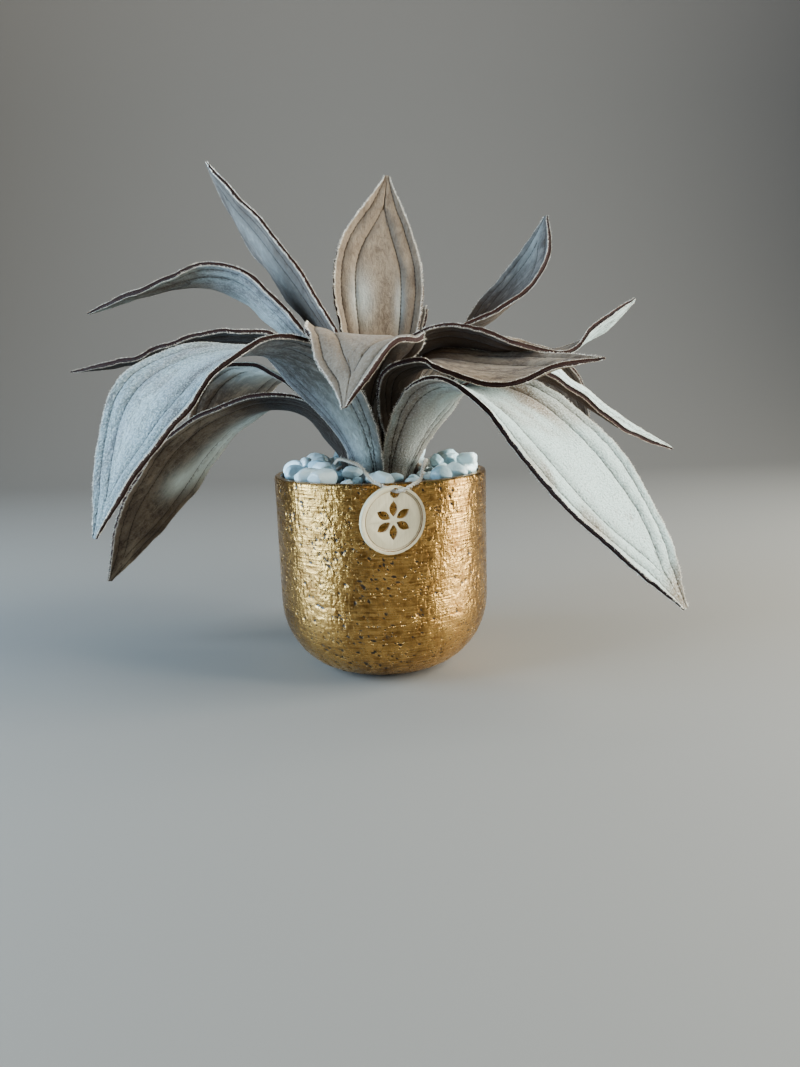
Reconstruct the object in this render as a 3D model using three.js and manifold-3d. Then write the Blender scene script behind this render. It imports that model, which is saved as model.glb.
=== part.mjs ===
// A handmade agave of sewn velvet leaves in a gold plaster pot, with white pebbles and a wooden tag.
// Millimetres, +Z up. The origin is the centre of the pot's flat base.
import * as THREE from "three";
import { mergeVertices } from "three/addons/utils/BufferGeometryUtils.js";
import Module from "manifold-3d";

const wasm = await Module();
wasm.setup();

// Pot
const POT_RADIUS = 70;
const POT_HEIGHT = 130;
const POT_WALL = 5;
const POT_FLOOR = 8;
const POT_FOOT_RADIUS = 30;
const POT_SHOULDER = 47; // height at which the rounded bottom becomes the upright wall
const POT_SIDES = 40;
const LIP_ROUND = 1.6;
const GAP = 0.3; // between pieces that touch

// Filling
const FILLER_TOP = 112;
const ROOT_FOOT = FILLER_TOP + GAP;
const BED_TOP = 127;
const BED_HOLE_RADIUS = 30.5;

// Leaves: two plies of velvet sewn round a wire
const LEAF_THICKNESS = 3;
const LEAF_STEPS = 16;
const LEAF_COLUMNS = 4;
const TIP_HALF_WIDTH = 0.9;
const RINGS = {
  outer: { radius: 24, halfWidth: 9 },
  middle: { radius: 16.5, halfWidth: 6.6 },
  inner: { radius: 8.5, halfWidth: 4.6 },
};
const SLEEVE_TOP = 130; // the roots stand nearly upright as far as this
const SLEEVE_LEAN = 0.6; // how far a root leans out by there
const SLEEVE_CUP = 1.1; // its cup there, as a share of the cup at its foot
const LEAST_CUP = 0.02; // radians

// Wires below the leaves
const WIRE_RADIUS = 1.2;
const WIRE_LENGTH = 46;
const WIRE_SIDES = 8;

// Tag and twine
const TAG_RADIUS = 20.2;
const TAG_THICKNESS = 3;
const TAG_CENTRE = new THREE.Vector3(6.2, -75.7, 109.5);
const TAG_TURN = 22; // degrees, its face turns to the right
const TAG_LEAN = 4; // degrees, its top stands further out than its foot
const TAG_HOLE = { across: 1, up: 16.2, radius: 3 };
const ROSETTE = { petals: 6, from: 2.4, to: 11.6, halfWidth: 2.5 };
const TAG_ARC_STEPS = 9;
const TWINE_RADIUS = 1.2;
const TWINE_SIDES = 8;
const TWINE_STEPS = 64;

const VELVET = { color: 0x9a8c80, roughness: 0.95, metalness: 0 };
const GOLD = { color: 0xa9803c, roughness: 0.35, metalness: 0.9 };
const FILLER = { color: 0x6b6258, roughness: 1, metalness: 0 };
const PEBBLE = { color: 0xd6dee0, roughness: 0.45, metalness: 0 };
const WIRE = { color: 0x8b8d8f, roughness: 0.4, metalness: 0.8 };
const TAG_WOOD = { color: 0xd9d2ba, roughness: 0.6, metalness: 0 };
const JUTE = { color: 0xcfc4b0, roughness: 1, metalness: 0 };

const radians = THREE.MathUtils.degToRad;
const group = new THREE.Group();

function addPiece(name, geometry, finish) {
  const mesh = new THREE.Mesh(geometry, new THREE.MeshStandardMaterial(finish));
  mesh.name = name;
  group.add(mesh);
  return mesh;
}

// A closed geometry as a solid that can be joined and cut.
function solidOf(geometry) {
  const bare = new THREE.BufferGeometry();
  bare.setAttribute("position", geometry.getAttribute("position").clone());
  if (geometry.index) bare.setIndex(geometry.index.clone());
  const merged = mergeVertices(bare, 1e-4);
  return new wasm.Manifold(
    new wasm.Mesh({
      numProp: 3,
      vertProperties: merged.attributes.position.array,
      triVerts: new Uint32Array(merged.index.array),
    }),
  );
}

function geometryOf(solid) {
  const mesh = solid.getMesh();
  const geometry = new THREE.BufferGeometry();
  const position = new Float32Array(mesh.numVert * 3);
  for (let i = 0; i < mesh.numVert; i++)
    for (let k = 0; k < 3; k++)
      position[i * 3 + k] = mesh.vertProperties[i * mesh.numProp + k];
  geometry.setAttribute("position", new THREE.BufferAttribute(position, 3));
  geometry.setIndex(new THREE.BufferAttribute(new Uint32Array(mesh.triVerts), 1));
  return geometry;
}

// A profile of [radius, height] points turned round the Z axis.
function turned(profile, sides = POT_SIDES) {
  const points = profile.map(([r, z]) => new THREE.Vector2(r, z));
  return new THREE.LatheGeometry(points, sides).rotateX(Math.PI / 2);
}

function rod(radius, low, high, x, y, sides) {
  return new THREE.CylinderGeometry(radius, radius, high - low, sides)
    .rotateX(Math.PI / 2)
    .translate(x, y, (low + high) / 2);
}

// The rounded bottom of the pot, or of the cavity inside it, as a quarter of an ellipse.
function bottomCurve(radius, foot, low, high, steps) {
  const points = [];
  for (let i = 0; i <= steps; i++) {
    const a = (i / steps) * (Math.PI / 2);
    points.push([
      foot + (radius - foot) * Math.sin(a),
      high - (high - low) * Math.cos(a),
    ]);
  }
  return points;
}

function makePot() {
  const outside = bottomCurve(POT_RADIUS, POT_FOOT_RADIUS, 0, POT_SHOULDER, 7);
  const inside = bottomCurve(
    POT_RADIUS - POT_WALL,
    POT_FOOT_RADIUS - POT_WALL,
    POT_FLOOR,
    POT_SHOULDER,
    5,
  ).reverse();
  const profile = [
    [0, 0],
    ...outside,
    [POT_RADIUS, POT_HEIGHT - LIP_ROUND],
    [POT_RADIUS - LIP_ROUND, POT_HEIGHT],
    [POT_RADIUS - POT_WALL + LIP_ROUND / 2, POT_HEIGHT],
    [POT_RADIUS - POT_WALL, POT_HEIGHT - LIP_ROUND / 2],
    ...inside,
    [0, POT_FLOOR],
  ];
  addPiece("pot", turned(profile), GOLD);
}

// Each leaf starts on a ring round the pot's axis and then follows its own path.
// path: [x, y, z, roll in degrees, cup in degrees]. Roll lifts the leaf's left side as seen along its heading.
// Cup curls both sides up. tip: share of the length in which the blade narrows to its point.
// swell: how late the blade broadens above its root.
const LEAVES = [
  {
    name: "leaf_front_left", ring: "outer", root: 247, heading: 200, halfWidth: 33, tip: 0.37, swell: 1.3,
    path: [
      [-11, -29, 141, 30, 30], [-19, -40, 164, 30, 24], [-36, -48, 190, 28, 19], [-58, -54, 206, 9, 14],
      [-80, -59, 206, -4, 12], [-104, -66, 198, -18, 10], [-125, -75, 181, -32, 10], [-142, -86, 149, -30, 10],
      [-156, -99, 110, -30, 8],
    ],
  },
  {
    name: "leaf_front_right", ring: "outer", root: -60, heading: -32, halfWidth: 34, tip: 0.37, swell: 1.3,
    path: [
      [15, -28, 140, -30, 30], [22, -35, 157, -28, 26], [32, -41, 172, -24, 23], [45, -46, 181, -8, 18],
      [61, -52, 181, 6, 14], [82, -61, 170, 15, 12], [103, -73, 149, 21, 10], [124, -85, 122, 22, 10],
      [146, -99, 92, 26, 8], [164, -112, 61, 28, 6],
    ],
  },
  {
    name: "leaf_left_low", ring: "outer", root: 195, heading: 170, halfWidth: 31, tip: 0.37, swell: 1.4,
    path: [
      [-25, -9, 141, 30, 30], [-35, -5, 156, 34, 26], [-50, 2, 170, 20, 21], [-73, 9, 174, 10, 16],
      [-100, 18, 165, 13, 13], [-127, 26, 146, 19, 10], [-152, 35, 117, 22, 10], [-180, 44, 82, 26, 8],
      [-204, 50, 49, 28, 6],
    ],
  },
  {
    name: "leaf_back_left_low", ring: "outer", root: 145, heading: 142, halfWidth: 29, tip: 0.4, swell: 1.9,
    path: [
      [-24, 18, 145, 0, 30], [-36, 31, 170, 0, 24], [-55, 49, 190, 0, 18], [-77, 67, 197, 4, 15],
      [-98, 84, 190, 12, 13], [-118, 100, 173, 18, 12], [-138, 114, 149, 20, 10], [-158, 127, 118, 20, 8],
    ],
  },
  {
    name: "leaf_back_low", ring: "outer", root: 95, heading: 96, halfWidth: 29, tip: 0.4, swell: 2.2,
    path: [
      [-2, 30, 148, 0, 28], [-3, 44, 172, 0, 22], [-6, 64, 188, 0, 16], [-10, 90, 190, 0, 14],
      [-15, 118, 174, 0, 12], [-19, 142, 146, 0, 10], [-22, 160, 112, 0, 8],
    ],
  },
  {
    name: "leaf_back_right_low", ring: "outer", root: 44, heading: 44, halfWidth: 27, tip: 0.4, swell: 2,
    path: [
      [22, 23, 146, 0, 28], [32, 38, 172, 0, 22], [53, 64, 195, 0, 16], [86, 85, 206, 0, 14],
      [118, 111, 202, 0, 12], [147, 132, 186, 0, 10], [168, 147, 162, 0, 10], [182, 157, 136, 0, 8],
    ],
  },
  {
    name: "leaf_right_low", ring: "outer", root: -8, heading: 25, halfWidth: 26, tip: 0.38, swell: 1.6,
    path: [
      [27, -3, 145, -30, 26], [38, 3, 168, -20, 24], [58, 14, 181, -8, 20], [90, 35, 191, 4, 20],
      [128, 61, 184, 26, 22], [156, 79, 168, 28, 20], [186, 95, 150, 28, 16], [214, 108, 137, 28, 12],
      [240, 118, 126, 26, 8],
    ],
  },
  {
    name: "leaf_front", ring: "middle", root: -101, heading: -98, halfWidth: 34, tip: 0.4, swell: 5.5,
    path: [
      [-7, -19, 150, -8, 34], [-11, -23, 180, -8, 26], [-10, -38, 203, -8, 18], [-6, -60, 212, -6, 14],
      [-7, -81, 210, -4, 12], [-10, -94, 204, 14, 10], [-13, -108, 190, 24, 10], [-17, -119, 176, 30, 8],
    ],
  },
  {
    name: "leaf_right", ring: "middle", root: -46, heading: -18, halfWidth: 30, tip: 0.32, swell: 2.1,
    path: [
      [14, -15, 148, -34, 30], [15, -21, 172, -32, 28], [18, -26, 189, -14, 24], [26, -30, 195.5, 2, 22],
      [34, -31, 197, 9, 20], [47, -33, 194, 14, 20], [60, -35, 191, 16, 19], [76, -39, 189, 17, 18],
      [92, -45, 190, 17, 16], [108, -52, 194, 10, 16], [132, -60, 197, 6, 10],
    ],
  },
  {
    name: "leaf_back", ring: "middle", root: 74, heading: 90, halfWidth: 27, tip: 0.4, swell: 2,
    path: [
      [4, 19, 150, 0, 34], [4, 33, 185, 0, 26], [6, 54, 212, 0, 20], [12, 74, 229, -8, 16],
      [16, 97, 233, -10, 14], [13, 124, 222, -4, 12], [9, 146, 200, 0, 8],
    ],
  },
  {
    name: "leaf_left_upper", ring: "middle", root: 136, heading: 164, halfWidth: 27, tip: 0.4, swell: 2,
    path: [
      [-14, 15, 150, 10, 30], [-25, 18, 178, 20, 22], [-38, 19, 199, 28, 20], [-53, 21, 215, 30, 20],
      [-73, 28, 236, 28, 18], [-88, 33, 249, 26, 16], [-101, 36, 254, 20, 14], [-118, 41, 257, 6, 12],
      [-139, 46, 256, -6, 10], [-162, 52, 252, -8, 8], [-204, 66, 242, -6, 6],
    ],
  },
  {
    name: "leaf_left", ring: "middle", root: 207, heading: 172, halfWidth: 26, tip: 0.4, swell: 1.8,
    path: [
      [-21, -6, 150, 28, 34], [-31, -2, 175, 26, 28], [-44, 3, 196, 24, 24], [-64, 12, 208, 18, 20],
      [-92, 21, 213, 14, 18], [-127, 30, 210, 8, 14], [-164, 37, 206, 0, 10], [-213, 46, 201, 0, 6],
    ],
  },
  {
    name: "leaf_upright", ring: "inner", root: 100, heading: 95, halfWidth: 30, tip: 0.34, swell: 2.5,
    path: [
      [-3, 11, 152, 5, 40], [-2, 15, 182, 0, 32], [2, 21, 214, 0, 26], [3, 27, 245, 0, 20],
      [4, 34, 272, 0, 16], [8, 40, 297, 0, 12], [12, 44, 323, 0, 8],
    ],
  },
  {
    name: "leaf_left_steep", ring: "inner", root: 195, heading: 142, halfWidth: 25, tip: 0.36, swell: 3,
    path: [
      [-10, -3, 150, 52, 36], [-15, -2, 180, 52, 32], [-26, 5, 206, 52, 28], [-41, 16, 228, 52, 26],
      [-59, 29, 253, 52, 24], [-75, 42, 276, 51, 22], [-89, 53, 296, 50, 18], [-103, 66, 321, 50, 12],
      [-115, 80, 343, 50, 8],
    ],
  },
  {
    name: "leaf_right_steep", ring: "inner", root: 20, heading: 36, halfWidth: 27, tip: 0.28, swell: 5.5,
    path: [
      [13, 7, 150, -10, 36], [20, 14, 180, -8, 30], [34, 28, 208, -8, 26], [54, 39, 218, -10, 24],
      [76, 50, 225, -12, 22], [97, 61, 244, -8, 18], [113, 69, 265, -6, 14], [121, 75, 283, -8, 10],
      [128, 83, 302, -14, 8],
    ],
  },
  {
    name: "leaf_right_upper", ring: "inner", root: -62, heading: 8, halfWidth: 28, tip: 0.36, swell: 2.4,
    path: [
      [7, -11, 150, -60, 34], [12, -13, 180, -44, 32], [24, -12, 203, -24, 32], [41, -12, 210, -14, 34],
      [58, -10, 209, -5, 28], [74, -6, 206, 4, 22], [91, 2, 205, 9, 17], [113, 9, 203, 8, 14],
      [134, 15, 207, -8, 14], [155, 19, 220, -26, 12], [176, 25, 236, -30, 8],
    ],
  },
];

// The half-width of a blade at a share s of its length.
function bladeHalfWidth(leaf, s) {
  const root = RINGS[leaf.ring].halfWidth;
  const widest = 1 - leaf.tip;
  if (s >= widest) {
    const left = (1 - s) / leaf.tip;
    return Math.max(TIP_HALF_WIDTH, leaf.halfWidth * Math.sin((Math.PI / 2) * left));
  }
  return root + (leaf.halfWidth - root) * Math.sin((Math.PI / 2) * (s / widest)) ** leaf.swell;
}

// The line down the middle of a leaf, with its roll and cup in degrees at each point.
function leafSpine(leaf) {
  const ring = RINGS[leaf.ring];
  const a = radians(leaf.root);
  const turn = leaf.root - leaf.heading;
  const rootRoll = THREE.MathUtils.euclideanModulo(turn + 180, 360) - 180;
  const ringCup = THREE.MathUtils.radToDeg(ring.halfWidth / ring.radius);
  const foot = [ring.radius * Math.cos(a), ring.radius * Math.sin(a), ROOT_FOOT, rootRoll, ringCup];
  const sleeve = [
    (ring.radius + SLEEVE_LEAN) * Math.cos(a),
    (ring.radius + SLEEVE_LEAN) * Math.sin(a),
    SLEEVE_TOP,
    rootRoll,
    ringCup * SLEEVE_CUP,
  ];
  const stations = [foot, sleeve, ...leaf.path];
  const line = new THREE.CatmullRomCurve3(
    stations.map(([x, y, z]) => new THREE.Vector3(x, y, z)),
    false,
    "centripetal",
  );
  const bend = new THREE.CatmullRomCurve3(
    stations.map(([, , , roll, cup]) => new THREE.Vector3(roll, cup, 0)),
    false,
    "catmullrom",
    0.5,
  );
  return { line, bend };
}

// A leaf's middle surface and its normals, as rows of points across the blade.
function leafRows(leaf, steps, columns) {
  const { line, bend } = leafSpine(leaf);
  line.arcLengthDivisions = 400;
  const h = radians(leaf.heading);
  const sideways = new THREE.Vector3(-Math.sin(h), Math.cos(h), 0);
  const rows = [];
  for (let i = 0; i <= steps; i++) {
    const s = i / steps;
    const t = line.getUtoTmapping(s);
    const centre = line.getPoint(t);
    const along = line.getTangent(t);
    const { x: roll, y: cup } = bend.getPoint(t);
    const side = sideways.clone().addScaledVector(along, -sideways.dot(along)).normalize();
    const up = new THREE.Vector3().crossVectors(along, side);
    side.applyAxisAngle(along, radians(roll));
    up.applyAxisAngle(along, radians(roll));
    const w = bladeHalfWidth(leaf, s);
    const c = Math.max(radians(cup), LEAST_CUP);
    const row = [];
    for (let j = 0; j <= columns; j++) {
      const a = c * ((2 * j) / columns - 1);
      const point = centre
        .clone()
        .addScaledVector(side, (w * Math.sin(a)) / c)
        .addScaledVector(up, (w * (1 - Math.cos(a))) / c);
      const normal = up
        .clone()
        .multiplyScalar(Math.cos(a))
        .addScaledVector(side, -Math.sin(a));
      row.push({ point, normal });
    }
    rows.push(row);
  }
  return rows;
}

// A closed blade of even thickness: upper face, lower face and the cut edge between them.
function makeLeaf(leaf) {
  const rows = leafRows(leaf, LEAF_STEPS, LEAF_COLUMNS);
  const width = LEAF_COLUMNS + 1;
  const positions = [];
  for (const offset of [LEAF_THICKNESS / 2, -LEAF_THICKNESS / 2])
    for (const row of rows)
      for (const { point, normal } of row)
        positions.push(...point.clone().addScaledVector(normal, offset));
  const below = rows.length * width;
  const index = [];
  const at = (i, j, lower) => (lower ? below : 0) + i * width + j;
  for (let i = 0; i < LEAF_STEPS; i++) {
    for (let j = 0; j < LEAF_COLUMNS; j++) {
      const [a, b, c, d] = [at(i, j), at(i + 1, j), at(i + 1, j + 1), at(i, j + 1)];
      index.push(a, b, c, a, c, d);
      index.push(a + below, c + below, b + below, a + below, d + below, c + below);
    }
    for (const [j, first] of [[0, true], [LEAF_COLUMNS, false]]) {
      const [a, b, c, d] = [at(i, j), at(i, j, true), at(i + 1, j, true), at(i + 1, j)];
      index.push(...(first ? [a, b, c, a, c, d] : [a, c, b, a, d, c]));
    }
  }
  for (const [i, first] of [[0, true], [LEAF_STEPS, false]])
    for (let j = 0; j < LEAF_COLUMNS; j++) {
      const [a, b, c, d] = [at(i, j), at(i, j + 1), at(i, j + 1, true), at(i, j, true)];
      index.push(...(first ? [a, b, c, a, c, d] : [a, c, b, a, d, c]));
    }
  const geometry = new THREE.BufferGeometry();
  geometry.setAttribute("position", new THREE.Float32BufferAttribute(positions, 3));
  geometry.setIndex(index);
  addPiece(leaf.name, geometry, VELVET);
}

function rootPlace(leaf) {
  const a = radians(leaf.root);
  const r = RINGS[leaf.ring].radius;
  return [r * Math.cos(a), r * Math.sin(a)];
}

function makeWire(leaf) {
  const [x, y] = rootPlace(leaf);
  const name = leaf.name.replace("leaf", "wire");
  addPiece(name, rod(WIRE_RADIUS, FILLER_TOP - WIRE_LENGTH, FILLER_TOP, x, y, WIRE_SIDES), WIRE);
}

// The plug that fills the pot, with a plain hole for each wire.
function makeFiller() {
  const outer = bottomCurve(
    POT_RADIUS - POT_WALL - GAP,
    POT_FOOT_RADIUS - POT_WALL - GAP,
    POT_FLOOR + GAP,
    POT_SHOULDER,
    5,
  );
  const profile = [
    [0, POT_FLOOR + GAP],
    ...outer,
    [POT_RADIUS - POT_WALL - GAP, FILLER_TOP],
    [0, FILLER_TOP],
  ];
  let solid = solidOf(turned(profile));
  for (const leaf of LEAVES) {
    const [x, y] = rootPlace(leaf);
    const hole = rod(WIRE_RADIUS + GAP, FILLER_TOP - WIRE_LENGTH - GAP, FILLER_TOP + 5, x, y, WIRE_SIDES);
    solid = solid.subtract(solidOf(hole));
  }
  addPiece("filler", geometryOf(solid), FILLER);
}

// The twine runs once round the roots; both ends come forward over the rim to the tag.
const TWINE_ROUTE = [
  [-29, -14, 137], [-26, -23, 140.4], [-19, -37, 140.4], [-12, -50, 138.4], [-7.4, -60, 133.8], [-5, -66.2, 131.6],
  [-2, -71, 130.6], [2.6, -73, 128.2], [7.4, -75.2, 126.7], [9.4, -78.2, 126.6], [13.6, -79.8, 127.8],
  [19, -75, 130], [23.4, -64.6, 131.6], [25.6, -54, 136.4], [27.5, -42, 139], [29, -28, 138.6], [30, -14, 134],
  [29, 0, 131.6], [25.2, 14.5, 131.4], [14.5, 25, 131.4], [0, 29, 131.4], [-14.5, 25, 131.4], [-25, 14.5, 131.4],
  [-28.6, 1, 131.4],
].map(([x, y, z]) => new THREE.Vector3(x, y, z));

function makeTwine() {
  const section = new THREE.Shape();
  for (let i = 0; i < TWINE_SIDES; i++) {
    const a = (i / TWINE_SIDES) * 2 * Math.PI;
    const [x, y] = [TWINE_RADIUS * Math.cos(a), TWINE_RADIUS * Math.sin(a)];
    if (i) section.lineTo(x, y);
    else section.moveTo(x, y);
  }
  const route = new THREE.CatmullRomCurve3(TWINE_ROUTE, false, "centripetal");
  const geometry = new THREE.ExtrudeGeometry(section, {
    steps: TWINE_STEPS,
    extrudePath: route,
    bevelEnabled: false,
  });
  addPiece("twine", geometry, JUTE);
}

// A petal between two arcs, pointing away from the tag's centre.
function petalHole(angle) {
  const { from, to, halfWidth } = ROSETTE;
  const middle = (from + to) / 2;
  const place = (r, w) =>
    new THREE.Vector2(r * Math.cos(angle) - w * Math.sin(angle), r * Math.sin(angle) + w * Math.cos(angle));
  const hole = new THREE.Path();
  const start = place(from, 0);
  const left = place(middle, halfWidth * 2);
  const end = place(to, 0);
  const right = place(middle, -halfWidth * 2);
  hole.moveTo(start.x, start.y);
  hole.quadraticCurveTo(left.x, left.y, end.x, end.y);
  hole.quadraticCurveTo(right.x, right.y, start.x, start.y);
  return hole;
}

function makeTag() {
  const outline = new THREE.Shape();
  outline.absarc(0, 0, TAG_RADIUS, 0, 2 * Math.PI);
  const eye = new THREE.Path();
  eye.absarc(TAG_HOLE.across, TAG_HOLE.up, TAG_HOLE.radius, 0, 2 * Math.PI);
  outline.holes.push(eye);
  for (let i = 0; i < ROSETTE.petals; i++)
    outline.holes.push(petalHole(Math.PI / 6 + (i / ROSETTE.petals) * 2 * Math.PI));
  const geometry = new THREE.ExtrudeGeometry(outline, {
    depth: TAG_THICKNESS,
    bevelEnabled: false,
    curveSegments: TAG_ARC_STEPS,
  });
  geometry.translate(0, 0, -TAG_THICKNESS / 2);
  geometry.rotateX(Math.PI / 2 + radians(TAG_LEAN));
  geometry.rotateZ(radians(TAG_TURN));
  geometry.translate(...TAG_CENTRE);
  addPiece("tag", geometry, TAG_WOOD);
}

// Pebbles: rings round the roots, and a second layer heaped at the left, the right and the back.
const PEBBLE_RINGS = [
  { radius: 56, count: 19, size: 8.6 },
  { radius: 42.5, count: 15, size: 7.6 },
  { radius: 35.4, count: 14, size: 4.8 },
];
const PEBBLE_DEPTH = 0.82;
const PEBBLE_FLATNESS = 0.66;
const PEBBLE_SINK = 1.6; // depth of a pebble's underside in the bed
const LOW_PEBBLE = 4.4; // size of those that lie under the twine
const ROUND_PEBBLE = 5.5; // size from which a pebble gets its finer faces
const LEAST_SHARE = 0.86; // of its ring's size
const SHARE_RANGE = 0.24;
const RING_SPREAD = 2; // how far a pebble strays across its ring
const TWINE_ROOM = 0.8; // share of a pebble's size that is kept clear of the twine
// [x, y, z, size]
const HEAPED = [
  [-36, -24, 135, 7.3], [-41, -7, 134.5, 7], [-50, 2, 136, 6.4], [-17, -35, 132.8, 6], [36, -15, 136.5, 5.8],
  [56, -14, 137.4, 6.8], [46, -3, 136, 7], [46, 18, 136, 7.6], [26, 40, 136, 7.4], [0, 47, 136, 7.6],
  [-27, 39, 136, 7.4], [-45, 22, 136, 7.4],
];
const LANES = [
  [new THREE.Vector2(-28, -12), new THREE.Vector2(-5, -66)],
  [new THREE.Vector2(30, -18), new THREE.Vector2(23, -66)],
];

// A small repeatable source of numbers from 0 to 1.
function seeded(seed) {
  let state = seed;
  return () => {
    state = (state * 16807) % 2147483647;
    return state / 2147483647;
  };
}

function laneDistance(x, y) {
  const p = new THREE.Vector2(x, y);
  const gaps = LANES.map(([a, b]) => {
    const d = b.clone().sub(a);
    const t = THREE.MathUtils.clamp(p.clone().sub(a).dot(d) / d.lengthSq(), 0, 1);
    return p.distanceTo(a.clone().addScaledVector(d, t));
  });
  return Math.min(...gaps);
}

function pebbleList() {
  const draw = seeded(41);
  const list = [];
  for (const ring of PEBBLE_RINGS)
    for (let i = 0; i < ring.count; i++) {
      const angle = ((i + 0.5 * draw()) / ring.count) * 2 * Math.PI;
      const r = ring.radius + RING_SPREAD * (draw() - 0.5);
      const [x, y] = [r * Math.cos(angle), r * Math.sin(angle)];
      const full = ring.size * (LEAST_SHARE + SHARE_RANGE * draw());
      const room = full * TWINE_ROOM + TWINE_RADIUS + 2 * GAP;
      const size = laneDistance(x, y) > room ? full : LOW_PEBBLE;
      const z = BED_TOP + size * PEBBLE_FLATNESS - PEBBLE_SINK;
      list.push({ x, y, z, size, turn: draw() * Math.PI, tilt: 0.4 * (draw() - 0.5), seed: draw() * 6 });
    }
  for (const [x, y, z, size] of HEAPED)
    list.push({ x, y, z, size, turn: draw() * Math.PI, tilt: draw() - 0.5, seed: draw() * 6 });
  return list;
}

// A tumbled stone: a ball with its faces pressed in and out a little, then flattened.
function pebbleGeometry({ x, y, z, size, turn, tilt, seed }) {
  const geometry = new THREE.IcosahedronGeometry(1, size < ROUND_PEBBLE ? 0 : 1);
  const position = geometry.attributes.position;
  const p = new THREE.Vector3();
  for (let i = 0; i < position.count; i++) {
    p.fromBufferAttribute(position, i);
    const swell = 1 + 0.1 * Math.sin(3 * p.x + seed) + 0.08 * Math.sin(4 * p.y - seed) * Math.cos(3 * p.z);
    p.multiplyScalar(size * swell);
    position.setXYZ(i, p.x, p.y * PEBBLE_DEPTH, p.z * PEBBLE_FLATNESS);
  }
  return geometry.rotateX(tilt).rotateZ(turn).translate(x, y, z);
}

function makePebbles() {
  const edge = POT_RADIUS - POT_WALL - GAP;
  const bedProfile = [
    [BED_HOLE_RADIUS, ROOT_FOOT],
    [edge, ROOT_FOOT],
    [edge, BED_TOP],
    [BED_HOLE_RADIUS, BED_TOP],
    [BED_HOLE_RADIUS, ROOT_FOOT],
  ];
  let solid = solidOf(turned(bedProfile));
  for (const pebble of pebbleList()) solid = solid.add(solidOf(pebbleGeometry(pebble)));
  const cavity = [
    [BED_HOLE_RADIUS, ROOT_FOOT - 1],
    [edge, ROOT_FOOT - 1],
    [edge, POT_HEIGHT + 40],
    [BED_HOLE_RADIUS, POT_HEIGHT + 40],
    [BED_HOLE_RADIUS, ROOT_FOOT - 1],
  ];
  solid = solid.intersect(solidOf(turned(cavity)));
  addPiece("pebbles", geometryOf(solid), PEBBLE);
}

makePot();
makeFiller();
makePebbles();
for (const leaf of LEAVES) {
  makeLeaf(leaf);
  makeWire(leaf);
}
makeTwine();
makeTag();

export default group;
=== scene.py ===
"""A handmade agave: sewn velvet leaves in a pitted gold pot, with white pebbles and a wooden tag on twine.

Lengths below are millimetres, unless a comment says metres. Everything in Blender is in metres.
"""

import math
import random
from contextlib import contextmanager

import bpy
import numpy as np
from bpy.props import FloatProperty, FloatVectorProperty, IntProperty, PointerProperty
from mathutils import Euler, Matrix, Vector


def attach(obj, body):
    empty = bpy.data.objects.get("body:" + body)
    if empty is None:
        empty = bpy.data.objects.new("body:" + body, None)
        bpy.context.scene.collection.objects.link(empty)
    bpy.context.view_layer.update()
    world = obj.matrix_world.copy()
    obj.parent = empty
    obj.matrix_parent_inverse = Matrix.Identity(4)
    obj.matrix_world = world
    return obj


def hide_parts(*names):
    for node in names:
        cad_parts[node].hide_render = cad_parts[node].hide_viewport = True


bl_info = {
    "name": "Velvet agave",
    "version": (1, 0, 0),
    "blender": (4, 5, 0),
    "location": "View3D > Sidebar > Agave",
    "description": "Builds a potted agave of stitched velvet leaves",
    "category": "Add Mesh",
}

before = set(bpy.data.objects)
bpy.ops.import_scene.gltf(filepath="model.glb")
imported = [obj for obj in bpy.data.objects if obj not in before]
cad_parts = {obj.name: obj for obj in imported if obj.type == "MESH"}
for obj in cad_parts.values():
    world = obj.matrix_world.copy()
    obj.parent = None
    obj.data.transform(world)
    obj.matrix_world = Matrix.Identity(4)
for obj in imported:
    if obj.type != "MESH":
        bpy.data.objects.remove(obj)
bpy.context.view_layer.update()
MM = 0.001

# Camera, as fitted to the photograph, in metres and degrees
CAMERA_PLACE = (0.0, -0.518, 0.190)
CAMERA_YAW = 1.3
CAMERA_PITCH = 11.3
CAMERA_ROLL = 1.9
CAMERA_FOCAL = 780 / 1067  # of the picture's long side
SENSOR = 36.0

# Pot
POT_RADIUS = 70.0
POT_HEIGHT = 130.0
POT_WALL = 5.0
POT_FLOOR = 8.0
POT_FOOT_RADIUS = 30.0
POT_SHOULDER = 47.0
LIP_ROUND = 1.6
# The rim, from the outside to the inside: how far in from the outer wall and how far down
LIP = ((0.45, 0.5), (1.2, 0.1), (2.2, 0.0), (3.6, 0.0), (4.3, 0.1), (4.9, 0.7))
INNER_LEVELS = (127, 122, 112, 90, 70)
POT_SIDES = 400
POT_STEP = 1.15  # between the points of the outer wall
# Marks in the plaster: two kinds of waves, by their lengths, slant, seed and depth, and pits
TROWEL = {"lengths": (13, 19, 27, 41), "slant": 0.6, "seed": 3, "depth": 0.28}
RIDGES = {"lengths": (2.9, 4.3, 6.1), "slant": 0.25, "seed": 9, "depth": 0.16}
PITS = {
    "seed": 17, "sizes": (0.35, 0.4, 0.5, 0.5, 0.6, 0.7, 1.0), "stretch": (0.85, 1.9),
    "ragged": 0.2, "lowest": 4, "below_rim": 1.5,
}
GAP = 0.3

# Filling
FILLER_TOP = 112.0
ROOT_FOOT = FILLER_TOP + GAP
BED_TOP = 127.0
BED_HOLE_RADIUS = 30.5
BED_RADIUS = POT_RADIUS - POT_WALL - GAP
BED_SIDES = 120

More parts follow.
